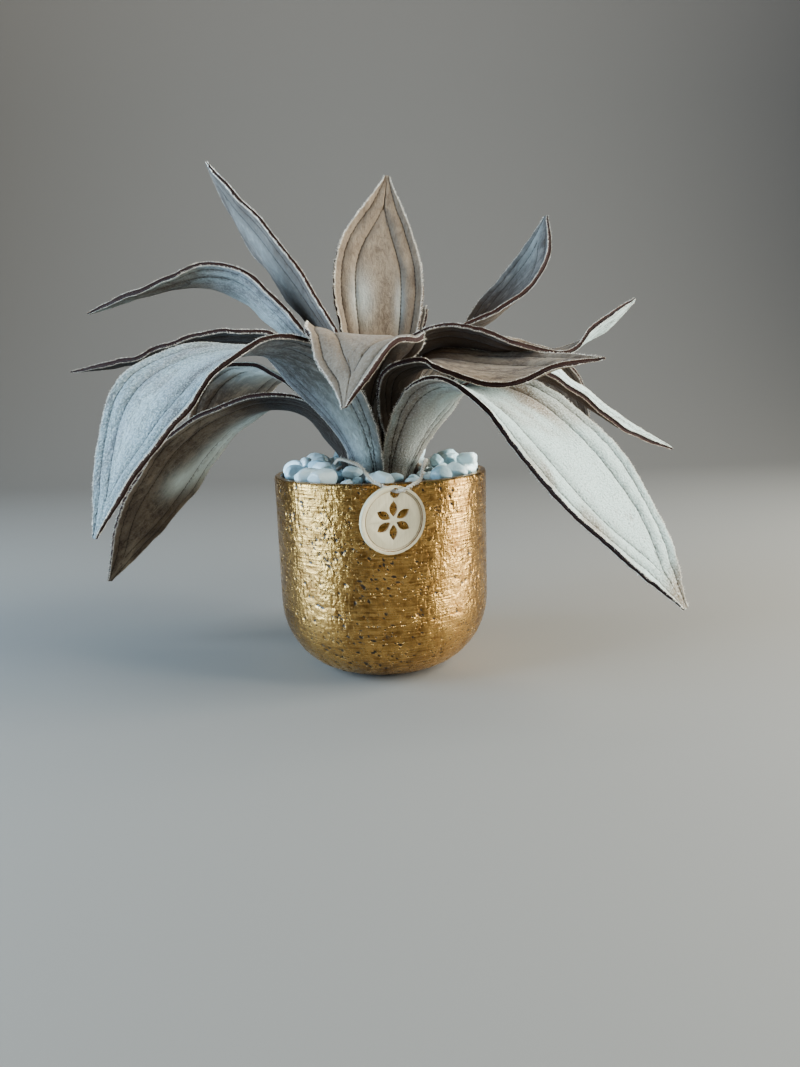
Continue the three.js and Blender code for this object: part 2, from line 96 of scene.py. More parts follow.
# Leaves
TIP_HALF_WIDTH = 0.9
TIP_BEYOND = 0.6  # from the last row to the closing point
SLEEVE_TOP = 130.0
SLEEVE_OUT = 0.6
SLEEVE_CUP = 1.1  # of the cup at the root
LEAST_CUP = 0.02  # radians
LINE_STEPS = 401  # straight steps by which a curve is measured
NEARBY = 1e-4  # step along a curve, from 0 to 1, by which its direction is found
RINGS = {
    "outer": {"radius": 24.0, "half_width": 9.0},
    "middle": {"radius": 16.5, "half_width": 6.6},
    "inner": {"radius": 8.5, "half_width": 4.6},
}

# Each path point is x, y, z, roll in degrees and cup in degrees, as in the part's source.
# The nap paints light and shade on the upper and the lower face: how far its pile stands up to the
# light, from 0 to 1, with painted shade below 0, or as a pair for the part near the root and the part
# near the tip. The turn says between which shares of the length it changes. Cool paints the cool
# light of the sky that the pile catches, and calm says how even the pile lies.
LEAVES = [
    {
        "name": "leaf_front_left", "ring": "outer", "root": 247, "heading": 200,
        "half_width": 33, "tip": 0.37, "swell": 1.3,
        "nap": (0.8, 0.5), "cool_light": 0.7,
        "path": [
            (-11, -29, 141, 30, 30), (-19, -40, 164, 30, 24), (-36, -48, 190, 28, 19),
            (-58, -54, 206, 9, 14), (-80, -59, 206, -4, 12), (-104, -66, 198, -18, 10),
            (-125, -75, 181, -32, 10), (-142, -86, 149, -30, 10), (-156, -99, 110, -30, 8),
        ],
    },
    {
        "name": "leaf_front_right", "ring": "outer", "root": -60, "heading": -32,
        "half_width": 34, "tip": 0.37, "swell": 1.3,
        "nap": (0.8, 0.66), "calm": 0.4,
        "path": [
            (15, -28, 140, -30, 30), (22, -35, 157, -28, 26), (32, -41, 172, -24, 23),
            (45, -46, 181, -8, 18), (61, -52, 181, 6, 14), (82, -61, 170, 15, 12),
            (103, -73, 149, 21, 10), (124, -85, 122, 22, 10), (146, -99, 92, 26, 8),
            (164, -112, 61, 28, 6),
        ],
    },
    {
        "name": "leaf_left_low", "ring": "outer", "root": 195, "heading": 170,
        "half_width": 31, "tip": 0.37, "swell": 1.4,
        "nap": ((-0.4, 0.6), (-0.6, 0.5)), "turn": (0.28, 0.42),
        "path": [
            (-25, -9, 141, 30, 30), (-35, -5, 156, 34, 26), (-50, 2, 170, 20, 21),
            (-73, 9, 174, 10, 16), (-100, 18, 165, 13, 13), (-127, 26, 146, 19, 10),
            (-152, 35, 117, 22, 10), (-180, 44, 82, 26, 8), (-204, 50, 49, 28, 6),
        ],
    },
    {
        "name": "leaf_back_left_low", "ring": "outer", "root": 145, "heading": 142,
        "half_width": 29, "tip": 0.4, "swell": 1.9,
        "nap": (0.8, 0.3),
        "path": [
            (-24, 18, 145, 0, 30), (-36, 31, 170, 0, 24), (-55, 49, 190, 0, 18),
            (-77, 67, 197, 4, 15), (-98, 84, 190, 12, 13), (-118, 100, 173, 18, 12),
            (-138, 114, 149, 20, 10), (-158, 127, 118, 20, 8),
        ],
    },
    {
        "name": "leaf_back_low", "ring": "outer", "root": 95, "heading": 96,
        "half_width": 29, "tip": 0.4, "swell": 2.2, "nap": (0.6, 0.4),
        "path": [
            (-2, 30, 148, 0, 28), (-3, 44, 172, 0, 22), (-6, 64, 188, 0, 16),
            (-10, 90, 190, 0, 14), (-15, 118, 174, 0, 12), (-19, 142, 146, 0, 10),
            (-22, 160, 112, 0, 8),
        ],
    },
    {
        "name": "leaf_back_right_low", "ring": "outer", "root": 44, "heading": 44,
        "half_width": 27, "tip": 0.4, "swell": 2, "nap": (0.6, 0.4),
        "path": [
            (22, 23, 146, 0, 28), (32, 38, 172, 0, 22), (53, 64, 195, 0, 16),
            (86, 85, 206, 0, 14), (118, 111, 202, 0, 12), (147, 132, 186, 0, 10),
            (168, 147, 162, 0, 10), (182, 157, 136, 0, 8),
        ],
    },
    {
        "name": "leaf_right_low", "ring": "outer", "root": -8, "heading": 25,
        "half_width": 26, "tip": 0.38, "swell": 1.6, "nap": (0.9, 0.1),
        "path": [
            (27, -3, 145, -30, 26), (38, 3, 168, -20, 24), (58, 14, 181, -8, 20),
            (90, 35, 191, 4, 20), (128, 61, 184, 26, 22), (156, 79, 168, 28, 20),
            (186, 95, 150, 28, 16), (214, 108, 137, 28, 12), (240, 118, 126, 26, 8),
        ],
    },
    {
        "name": "leaf_front", "ring": "middle", "root": -101, "heading": -98,
        "half_width": 34, "tip": 0.4, "swell": 5.5,
        "nap": (0.5, 0.2), "calm": 0.7,
        "path": [
            (-7, -19, 150, -8, 34), (-11, -23, 180, -8, 26), (-10, -38, 203, -8, 18),
            (-6, -60, 212, -6, 14), (-7, -81, 210, -4, 12), (-10, -94, 204, 14, 10),
            (-13, -108, 190, 24, 10), (-17, -119, 176, 30, 8),
        ],
    },
    {
        "name": "leaf_right", "ring": "middle", "root": -46, "heading": -18,
        "half_width": 30, "tip": 0.32, "swell": 2.1,
        "nap": ((-0.06, 0.42), (-0.06, 0.35)), "turn": (0.42, 0.6),
        "path": [
            (14, -15, 148, -34, 30), (15, -21, 172, -32, 28), (18, -26, 189, -14, 24),
            (26, -30, 195.5, 2, 22), (34, -31, 197, 9, 20), (47, -33, 194, 14, 20),
            (60, -35, 191, 16, 19), (76, -39, 189, 17, 18), (92, -45, 190, 17, 16),
            (108, -52, 194, 10, 16), (132, -60, 197, 6, 10),
        ],
    },
    {
        "name": "leaf_back", "ring": "middle", "root": 74, "heading": 90,
        "half_width": 27, "tip": 0.4, "swell": 2, "nap": (0.5, 0.4),
        "path": [
            (4, 19, 150, 0, 34), (4, 33, 185, 0, 26), (6, 54, 212, 0, 20),
            (12, 74, 229, -8, 16), (16, 97, 233, -10, 14), (13, 124, 222, -4, 12),
            (9, 146, 200, 0, 8),
        ],
    },
    {
        "name": "leaf_left_upper", "ring": "middle", "root": 136, "heading": 164,
        "half_width": 27, "tip": 0.4, "swell": 2,
        "nap": ((0.3, 0.55), (0.6, 0.6)), "cool_light": (0.6, 0.0), "turn": (0.55, 0.7),
        "path": [
            (-14, 15, 150, 10, 30), (-25, 18, 178, 20, 22), (-38, 19, 199, 28, 20),
            (-53, 21, 215, 30, 20), (-73, 28, 236, 28, 18), (-88, 33, 249, 26, 16),
            (-101, 36, 254, 20, 14), (-118, 41, 257, 6, 12), (-139, 46, 256, -6, 10),
            (-162, 52, 252, -8, 8), (-204, 66, 242, -6, 6),
        ],
    },
    {
        "name": "leaf_left", "ring": "middle", "root": 207, "heading": 172,
        "half_width": 26, "tip": 0.4, "swell": 1.8,
        "nap": (-0.55, -0.55),
        "path": [
            (-21, -6, 150, 28, 34), (-31, -2, 175, 26, 28), (-44, 3, 196, 24, 24),
            (-64, 12, 208, 18, 20), (-92, 21, 213, 14, 18), (-127, 30, 210, 8, 14),
            (-164, 37, 206, 0, 10), (-213, 46, 201, 0, 6),
        ],
    },
    {
        "name": "leaf_upright", "ring": "inner", "root": 100, "heading": 95,
        "half_width": 30, "tip": 0.34, "swell": 2.5,
        "nap": (0.42, 0.4), "calm": 0.6,
        "path": [
            (-3, 11, 152, 5, 40), (-2, 15, 182, 0, 32), (2, 21, 214, 0, 26),
            (3, 27, 245, 0, 20), (4, 34, 272, 0, 16), (8, 40, 297, 0, 12), (12, 44, 323, 0, 8),
        ],
    },
    {
        "name": "leaf_left_steep", "ring": "inner", "root": 195, "heading": 142,
        "half_width": 25, "tip": 0.36, "swell": 3,
        "nap": ((-0.08, 0.06), (-0.08, 0.06)), "cool_light": 0.12,
        "path": [
            (-10, -3, 150, 52, 36), (-15, -2, 180, 52, 32), (-26, 5, 206, 52, 28),
            (-41, 16, 228, 52, 26), (-59, 29, 253, 52, 24), (-75, 42, 276, 51, 22),
            (-89, 53, 296, 50, 18), (-103, 66, 321, 50, 12), (-115, 80, 343, 50, 8),
        ],
    },
    {
        "name": "leaf_right_steep", "ring": "inner", "root": 20, "heading": 36,
        "half_width": 27, "tip": 0.28, "swell": 5.5,
        "nap": ((-0.1, 0.25), (-0.1, 0.25)), "cool_light": (0.0, 0.25), "turn": (0.62, 0.8),
        "path": [
            (13, 7, 150, -10, 36), (20, 14, 180, -8, 30), (34, 28, 208, -8, 26),
            (54, 39, 218, -10, 24), (76, 50, 225, -12, 22), (97, 61, 244, -8, 18),
            (113, 69, 265, -6, 14), (121, 75, 283, -8, 10), (128, 83, 302, -14, 8),
        ],
    },
    {
        "name": "leaf_right_upper", "ring": "inner", "root": -62, "heading": 8,
        "half_width": 28, "tip": 0.36, "swell": 2.4,
        "nap": ((-0.2, 0.35), (-0.3, 0.95)), "turn": (0.5, 0.68),
        "path": [
            (7, -11, 150, -60, 34), (12, -13, 180, -44, 32), (24, -12, 203, -24, 32),
            (41, -12, 210, -14, 34), (58, -10, 209, -5, 28), (74, -6, 206, 4, 22),
            (91, 2, 205, 9, 17), (113, 9, 203, 8, 14), (134, 15, 207, -8, 14),
            (155, 19, 220, -26, 12), (176, 25, 236, -30, 8),
        ],
    },
]

# Where a leaf catches the light of a window: face, share of the length, place across from 1 at its
# left edge as seen along its heading to -1, how far the patch reaches along and across, and its
# strength
GLEAMS = {
    "leaf_upright": [("upper", 0.61, 0.4, 0.07, 0.25, 0.32), ("upper", 0.59, -0.5, 0.07, 0.12, 0.25)],
    "leaf_left_low": [
        ("lower", 0.42, -0.7, 0.07, 0.45, 0.9), ("lower", 0.52, -0.68, 0.07, 0.42, 1.0),
        ("lower", 0.61, -0.66, 0.06, 0.45, 1.0), ("lower", 0.66, -0.15, 0.045, 0.36, 0.9),
    ],
    "leaf_back_left_low": [("lower", 0.47, 0.0, 0.1, 1.5, 1.0)],
    "leaf_left_upper": [("lower", 0.5, -0.5, 0.1, 0.7, 0.3), ("lower", 0.6, -0.8, 0.06, 0.5, 0.25)],
    "leaf_front_left": [("lower", 0.18, 0.3, 0.12, 0.6, 0.7), ("upper", 0.74, -0.1, 0.13, 0.3, 0.2)],
    "leaf_front_right": [("lower", 0.2, 0.3, 0.12, 0.8, 0.42)],
    "leaf_left_steep": [("upper", 0.66, 0.3, 0.2, 0.4, 0.12), ("lower", 0.66, 0.3, 0.2, 0.4, 0.12)],
    "leaf_right_steep": [("upper", 0.9, 0.3, 0.09, 0.5, 0.25), ("lower", 0.9, 0.3, 0.09, 0.5, 0.25)],
}

# Cloth of a leaf: two plies, sewn together along an edge seam and along two ribs that meet below the tip
LEAF_ROWS = 132
NAP_AND_LIGHT_TURN = (0.45, 0.72)  # share of the length over which the painted light and shade change from root to tip
EDGE_BAND = 4.6
EDGE_SHARE = 0.36  # of the half-width, where the blade is too narrow for the whole band
RIB_SHARE = 0.5  # of the half-width, where the blade is wide
RIB_MEET = 20.0  # below the tip
RIB_SPREAD = 50.0  # length over which the ribs part
SEAM_GROOVE = 2.2  # how fast the cloth rises beside a seam
SEAM_WIDTH = 0.8
STITCH = 2.8  # length of one stitch and its gap
SEAM_STEPS = (0.35, 0.9)
SEAM_CLOSE = 0.18  # how close the steps beside a seam stay where there is little room
FULL_ROOM = 9.0  # between two seams this far apart, the cloth stands up to its full puff
UNSEWN = 99.0  # distance that stands for no seam
NARROW = 3.0  # half-width below which the edge gets thinner
EDGE_RISE = 1 - math.exp(-2.2)  # how far the cloth has risen at the raw edge
PLY_AT_SEAM = 0.5
PLY_AT_EDGE = 1.65
CENTRE_PUFF = 1.5
SIDE_PUFF = 1.5
CENTRE_COLUMNS = (0.25, 0.48, 0.68, 0.84)
SIDE_COLUMNS = (0.25, 0.42, 0.58, 0.75)
EDGE_COLUMNS = (0.4, 0.6, 0.78, 0.9, 1.0)
# Past the last column the ply turns over its raw edge: how far out, share of its thickness, share of core
RIM = ((0.2, 0.93, 0.0), (0.25, 0.85, 0.3), (0.05, 0.74, 1.0), (-0.35, 0.4, 1.0), (-0.45, 0.0, 1.0))
# Unevenness of the cloth: its raw edge, the gathers beside its seams, its creases and its ruffled sides
RAGGED = {"lengths": (3.1, 4.7, 7.9, 13.0), "slant": 0.3, "size": 0.5}
GATHERS = {"length": 6.4, "drift": (31, 47), "rib_reach": 2.6, "edge_reach": 2.2, "size": 0.34}
CREASES = {"lengths": (9, 12, 17, 23, 31), "slant": 1.4, "size": 0.36}
RUFFLES = {"lengths": (26, 37, 58), "slant": 0.2, "apart": 37, "size": 1.5}
# Loose pile along the raw edges
FRINGE = {
    "seed": 500, "every": 0.42, "from": 22.0, "clumps": (3.3, 5.1, 8.7, 21.0),
    "rooted": 0.4, "half_width": 0.15,
}
CLOTH_UNIT = 100.0  # of cloth to one step of its UV map
CLOTH_LOWER = 90.0  # from the cloth of the upper face to that of the lower one, in the UV map
CLOTH_APART = 200.0  # from the cloth of one leaf to the next

# Twine and tag
TWINE_ROUTE = [
    (-29, -14, 137), (-26, -23, 140.4), (-19, -37, 140.4), (-12, -50, 138.4), (-7.4, -60, 133.8),
    (-5, -66.2, 131.6), (-2, -71, 130.6), (2.6, -73, 128.2), (7.4, -75.2, 126.7),
    (9.4, -78.2, 126.6), (13.6, -79.8, 127.8), (19, -75, 130), (23.4, -64.6, 131.6),
    (25.6, -54, 136.4), (27.5, -42, 139), (29, -28, 138.6), (30, -14, 134), (29, 0, 131.6),
    (25.2, 14.5, 131.4), (14.5, 25, 131.4), (0, 29, 131.4), (-14.5, 25, 131.4),
    (-25, 14.5, 131.4), (-28.6, 1, 131.4),
]
TWINE_RADIUS = 1.2
PLY = {"radius": 0.62, "uneven": 0.05, "off": 0.56, "lay": 5.2, "sides": 10, "steps": 620}
HAIRS = {"count": 700, "seed": 8, "from": 0.9, "least": 0.9, "most": 4.2, "half_width": 0.075}
TAG_RADIUS = 20.2
TAG_THICKNESS = 3.0
TAG_CENTRE = (6.2, -75.7, 109.5)
TAG_TURN = 22.0
TAG_LEAN = 4.0
TAG_STEPS = ((1.7, 0.0), (0.25, -0.8), (0.6, 0.0), (0.15, -0.25), (0.3, 0.0), (0.15, 0.25))
TAG_HOLE = {"across": 1.0, "up": 16.2, "radius": 3.0}
ROSETTE = {"petals": 6, "from": 2.4, "to": 11.6, "half_width": 2.5}

# Pebbles
PEBBLE_RINGS = [
    {"radius": 56.0, "count": 19, "size": 8.6},
    {"radius": 42.5, "count": 15, "size": 7.6},
    {"radius": 35.4, "count": 14, "size": 4.8},
]
PEBBLE_DEPTH = 0.82
PEBBLE_FLATNESS = 0.66
PEBBLE_SINK = 1.6
PEBBLE_SEED = 41
TONE_SEED = 6
LOW_PEBBLE = 4.4
LARGE_PEBBLE = 5.5  # above this size a stone gets finer faces
STONE = {"seed": 900, "cuts": 9, "cut_at": (0.68, 0.86), "flat": 0.85, "lengths": (0.5, 0.7, 0.9)}
HEAPED = [
    (-36, -24, 135, 7.3), (-41, -7, 134.5, 7), (-50, 2, 136, 6.4), (-17, -35, 132.8, 6),
    (36, -15, 136.5, 5.8), (56, -14, 137.4, 6.8), (46, -3, 136, 7), (46, 18, 136, 7.6),
    (26, 40, 136, 7.4), (0, 47, 136, 7.6), (-27, 39, 136, 7.4), (-45, 22, 136, 7.4),
]
LANES = [((-28, -12), (-5, -66)), ((30, -18), (23, -66))]

# Stage, in metres. The floor bends up into a wall behind the pot.
SWEEP = {"size": (9, 6, 1), "place": (0, -1.0, -0.0002), "back": 1.9, "wall": 4.0, "bend": 1.0}
SKY = {"Color": (0.8, 0.85, 0.9, 1.0), "Strength": 0.05}
# A cool window at the left, a bright one at the right, a soft front light and one for the wall:
# name, place, goal, width, height, colour and power
LAMPS = (
    ("lamp_left", (-1.1, -0.28, 0.42), (0, 0, 0.16), 0.7, 1.0, (0.55, 0.78, 1.0), 60),
    ("lamp_right", (1.1, -0.22, 0.5), (0, 0, 0.16), 0.8, 1.1, (0.97, 1.0, 0.92), 78),
    ("lamp_front", (0.15, -1.4, 1.0), (0, 0, 0.16), 0.8, 0.5, (1.0, 0.88, 0.72), 4),
    ("lamp_wall", (0, 0.9, 2.2), (0, 2.0, 0.9), 4.4, 0.6, (1.0, 0.98, 0.95), 30),
)


def color_setting(name, description, default):
    """A colour that the user may change."""
    return FloatVectorProperty(
        name=name, description=description, subtype="COLOR", size=3, min=0, max=1, default=default
    )


class PotLook(bpy.types.PropertyGroup):
    bright: color_setting("Bright gold", "Gold where the finish is rubbed bright", (0.62, 0.35, 0.1))
    dark: color_setting("Dark gold", "Gold in the hollows of the finish", (0.19, 0.088, 0.022))
    pits: IntProperty(
        name="Pits", description="Number of small holes in the plaster",
        min=0, max=4000, default=2600,
    )
    pit_depth: FloatProperty(
        name="Pit depth", description="Deepest hole in the plaster",
        subtype="DISTANCE", unit="LENGTH", min=0, max=0.003, default=0.0012,
    )


class VelvetLook(bpy.types.PropertyGroup):
    pile: color_setting("Pile", "Colour of the velvet's pile", (0.27, 0.205, 0.145))
    # Partly painted shade: the pile of poorly lit leaves is drawn to this dark brown
    crushed_and_shaded: color_setting(
        "Crushed pile", "Colour where the pile lies away from the eye", (0.08, 0.054, 0.038)
    )
    # Painted light: the pale blooms of lit pile, cool on well lit leaves and warm on the others
    light_bloom: color_setting("Bloom", "Colour where the pile stands up to the light", (0.54, 0.7, 0.68))
    warm_light_bloom: color_setting(
        "Warm bloom", "Colour of raised pile on leaves that face away from the light", (0.43, 0.352, 0.25)
    )
    gleam: color_setting("Gleam", "Colour where the pile catches a window's light", (0.86, 0.98, 0.96))
    # Painted cool light of the sky
    cool_light: color_setting("Cool pile", "Colour of pile that stands up to the sky", (0.3, 0.37, 0.43))
    sheen: FloatProperty(
        name="Sheen", description="Strength of the pile's sheen",
        subtype="FACTOR", min=0, max=1, default=0.07,
    )
    fringe: FloatProperty(
        name="Fringe", description="Longest loose thread at a raw edge",
        subtype="DISTANCE", unit="LENGTH", min=0, max=0.006, default=0.0022,
    )


class PebbleLook(bpy.types.PropertyGroup):
    pale: color_setting("Pale stone", "Colour of the whitest stones", (0.72, 0.88, 0.93))
    grey: color_setting("Grey stone", "Colour of the darkest stones", (0.28, 0.46, 0.54))


class TagLook(bpy.types.PropertyGroup):
    wood: color_setting("Wood", "Colour of the tag's face", (0.66, 0.6, 0.42))
    burnt: color_setting("Burnt wood", "Colour of the tag's cut edges", (0.2, 0.1, 0.04))
    twine: color_setting("Twine", "Colour of the twine", (0.86, 0.82, 0.72))


class Stage(bpy.types.PropertyGroup):
    floor: color_setting("Floor", "Colour of the floor and the wall behind", (0.165, 0.155, 0.142))
    light: FloatProperty(
        name="Light", description="Strength of all the lamps together",
        subtype="FACTOR", min=0, max=10, default=1.0,
    )


class Number:
    """A socket that takes part in arithmetic: an expression on it adds the Math nodes."""

    def __init__(self, finish, socket):
        self.finish = finish
        self.socket = socket

    def other(self, name):
        """Another output of the same node."""
        return Number(self.finish, self.socket.node.outputs[name])

    def math(self, operation, *values, clamp=False):
        settings = {"operation": operation, "use_clamp": clamp}
        return self.finish.node("ShaderNodeMath", settings, dict(enumerate(values)))

    def __add__(self, other):
        return self.math("ADD", self, other)

    __radd__ = __add__

    def __sub__(self, other):
        return self.math("SUBTRACT", self, other)

    def __rsub__(self, other):
        return self.math("SUBTRACT", other, self)

    def __mul__(self, other):
        return self.math("MULTIPLY", self, other)

    __rmul__ = __mul__

    def above(self, low, high):
        """0 below low, 1 above high, and smooth between them; turned round where high is the lower."""
        if high < low:
            return 1 - self.above(high, low)
        settings = {"interpolation_type": "SMOOTHSTEP", "clamp": True}
        inputs = {"Value": self, "From Min": low, "From Max": high, "To Min": 0.0, "To Max": 1.0}
        return self.finish.node("ShaderNodeMapRange", settings, inputs)


# Sockets of a Mix node that mixes colours
MIX_SHARE, MIX_FIRST, MIX_SECOND, MIX_RESULT = 0, 6, 7, 2


class Finish:
    """One material, made of nodes."""

    def __init__(self, name):
        self.material = bpy.data.materials.new(name)
        self.material.use_nodes = True
        self.tree = self.material.node_tree
        self.tree.nodes.clear()

    def node(self, kind, settings=None, inputs=None, output=0):
        """A node with its settings, then the values or links of its sockets."""
        node = self.tree.nodes.new(kind)
        for name, value in (settings or {}).items():
            setattr(node, name, value)
        for name, value in (inputs or {}).items():
            self.feed(node.inputs[name], value)
        return Number(self, node.outputs[output])

    def feed(self, socket, value):
        if isinstance(value, Number):
            self.tree.links.new(value.socket, socket)
        elif socket.type == "RGBA" and len(value) == 3:
            socket.default_value = (*value, 1.0)
        else:
            socket.default_value = value

    def place(self, scale=(1.0, 1.0, 1.0), uv=None):
        """Object coordinates, or those of a UV map, stretched by scale."""
        if uv:
            source = self.node("ShaderNodeUVMap", {"uv_map": uv})
        else:
            source = self.node("ShaderNodeTexCoord", output="Object")
        return self.node("ShaderNodeMapping", None, {"Vector": source, "Scale": scale})

    def attribute(self, name):
        return self.node("ShaderNodeAttribute", {"attribute_name": name}, output="Fac")

    def noise(self, place, scale, detail=3.0, roughness=0.5, distortion=0.0):
        inputs = {
            "Vector": place, "Scale": scale, "Detail": detail,
            "Roughness": roughness, "Distortion": distortion,
        }
        return self.node("ShaderNodeTexNoise", None, inputs)

    def mix(self, share, first, second):
        """A colour between two, by a share from 0 to 1."""
        inputs = {MIX_SHARE: share, MIX_FIRST: first, MIX_SECOND: second}
        return self.node("ShaderNodeMix", {"data_type": "RGBA"}, inputs, MIX_RESULT)

    def bump(self, height, distance, strength=1.0):
        inputs = {"Height": height, "Distance": distance, "Strength": strength}
        return self.node("ShaderNodeBump", None, inputs)

    def surface(self, **inputs):
        """Ends the material in a Principled shader; an underscore in a name stands for a space."""
        named = {name.replace("_", " "): value for name, value in inputs.items()}
        shader = self.node("ShaderNodeBsdfPrincipled", None, named)
        end = self.tree.nodes.new("ShaderNodeOutputMaterial")
        self.tree.links.new(shader.socket, end.inputs["Surface"])
        return self.material


# Colours of the finishes that stay as they are
# Some velvet tones are painted light and shade: painted shade on shaded leaves and in the gathers beside
# the seams, painted glints on the pile tips, and grain in painted cool light.
TONES = {
    "speck": (0.05, 0.037, 0.028), "shade": (0.018, 0.013, 0.01), "cool_light_grain": (0.1, 0.115, 0.13),
    "pile_tip_glint": (0.6, 0.63, 0.62), "gather_and_shade": (0.06, 0.045, 0.036), "raw_edge": (0.55, 0.49, 0.41),
    "seam": (0.022, 0.014, 0.01), "core": (0.022, 0.008, 0.006), "sheen": (0.88, 0.94, 1.0, 1.0),
    "fringe_dark": (0.6, 0.52, 0.42), "fringe_pale": (0.9, 0.86, 0.78),
    "gold_glint": (0.95, 0.8, 0.52), "gold_pit": (0.026, 0.015, 0.008), "pot_inside": (0.1, 0.062, 0.038),
    "stone_speck": (0.3, 0.28, 0.24), "grit_dark": (0.03, 0.028, 0.025), "grit_pale": (0.2, 0.2, 0.19),
    "wood_grain": (0.5, 0.42, 0.27), "wood_pore": (0.4, 0.32, 0.2), "scorch": (0.4, 0.24, 0.11),
    "twine_dark": (0.34, 0.27, 0.19), "foam_dark": (0.1, 0.09, 0.07), "foam_pale": (0.24, 0.21, 0.17),
    "steel_dark": (0.36, 0.36, 0.36), "steel_pale": (0.62, 0.62, 0.62),
}
# The even level of each noise, towards which calm pile is drawn
CALM_LEVELS = {"patches": 0.51, "crush": 0.53, "light_bloom": 0.47}


def calmed(noise, level, calm):
    """Noise drawn towards an even level."""
    return noise - (noise - level) * calm


def velvet_finish(look):
    """Crushed pile with painted light and shade: soft blooms of painted light, fine speckle,
    dark sewn seams and a brown core between raw edges.
    """
    f = Finish("velvet")
    cloth = f.place(uv="cloth")
    along = f.place(scale=(1.0, 0.4, 1.0), uv="cloth")
    brushed = f.place(scale=(1.3, 0.6, 1.0), uv="cloth")
    marks = ("nap", "seam", "gather_and_shade", "rim", "core", "gleam", "cool_light", "calm")
    nap, seam, gather_and_shade, rim, core, gleam, cool_light, calm = (f.attribute(name) for name in marks)
    light_bloom = calmed(f.noise(along, 3.2, 3.0, 0.5, 0.5), CALM_LEVELS["light_bloom"], calm)
    patches = calmed(f.noise(along, 11.0, 4.0, 0.62, 0.9), CALM_LEVELS["patches"], calm)
    crush = calmed(f.noise(brushed, 40.0, 4.0, 0.66, 0.6), CALM_LEVELS["crush"], calm * 0.6)
    speckle = f.noise(cloth, 84.0, 3.0, 0.7)
    fuzz = f.noise(cloth, 190.0, 3.0, 0.75)
    run = f.node("ShaderNodeSeparateXYZ", None, {"Vector": cloth}, "Y")
    thread = run.math("SINE", run * (2 * CLOTH_UNIT * math.pi / STITCH)).above(-0.5, 0.3)
    # Painted light and shade: the better lit a face, the more its raised pile blooms pale with painted
    # light and the less it is drawn to the dark crushed brown; below 0 it gets painted shade
    well_lit = nap.above(0.38, 0.95)
    lie = patches * 0.55 + crush * 0.45 + nap * 0.3 - 0.16
    raised = (light_bloom + nap * 0.5 - 0.28).above(0.47, 0.66) * lie.above(0.4, 0.56)
    ruffled = patches * 0.5 + crush * 0.5
    grain = crush * 0.5 + speckle * 0.3 + patches * 0.2
    sewn = seam.above(0.3, 0.85) * (0.42 + thread * 0.4)
    lit = f.mix(nap.above(0.52, 0.66), look.warm_light_bloom, look.light_bloom)
    # The dark crushed brown is partly the cloth's own patches and partly painted shade on poorly lit
    # leaves
    base = f.mix(lie.above(0.34, 0.62), look.crushed_and_shaded, look.pile)
    # Each colour laid over the one before, with its share
    layers = (
        # painted light: pale blooms where the pile stands up to the lamps
        (raised * 0.85, lit),
        (speckle.above(0.5, 0.36) * (0.08 + well_lit * 0.42), TONES["speck"]),
        # painted shade on the faces of leaves that lie in shade
        (nap.above(-0.05, -0.5) * 0.9, TONES["shade"]),
        # painted cool light of the sky, in ruffled patches
        (cool_light * ruffled.above(0.38, 0.6), look.cool_light),
        # dark grain within the painted cool light
        (cool_light * grain.above(0.57, 0.45) * 0.9, TONES["cool_light_grain"]),
        # painted glints on the pile tips of well lit leaves
        (speckle.above(0.5, 0.64) * well_lit * 0.75, TONES["pile_tip_glint"]),
        (gleam * (0.4 + patches * 0.6 + crush * 0.4), look.gleam),
        # painted shade in the gathers beside the seams
        (gather_and_shade * crush.above(0.4, 0.62) * 0.6, TONES["gather_and_shade"]),
        (rim * fuzz.above(0.34, 0.6) * 0.7, TONES["raw_edge"]),
        (sewn, TONES["seam"]),
        ((core - speckle * 0.3).above(0.15, 0.6), TONES["core"]),
    )
    for share, tone in layers:
        base = f.mix(share, base, tone)
    height = patches * 0.5 + crush * (0.45 + cool_light * 1.1)
    height = height + speckle * (0.12 + well_lit * 0.4) + fuzz * 0.12
    return f.surface(
        Base_Color=base,
        Roughness=0.8 + fuzz * 0.18,
        Normal=f.bump(height, 0.0024, 0.95),
        Sheen_Weight=look.sheen,
        Sheen_Roughness=0.4,
        Sheen_Tint=TONES["sheen"],
        Specular_IOR_Level=0.12,
    )


def fringe_finish():
    """Loose pile at the raw edges, paler than the cloth."""
    f = Finish("fringe")
    tone = f.noise(f.place(), 420.0, 2.0)
    base = f.mix(tone.above(0.35, 0.7), TONES["fringe_dark"], TONES["fringe_pale"])
    return f.surface(
        Base_Color=base, Roughness=0.9 - tone * 0.1, Sheen_Weight=0.5, Specular_IOR_Level=0.1
    )


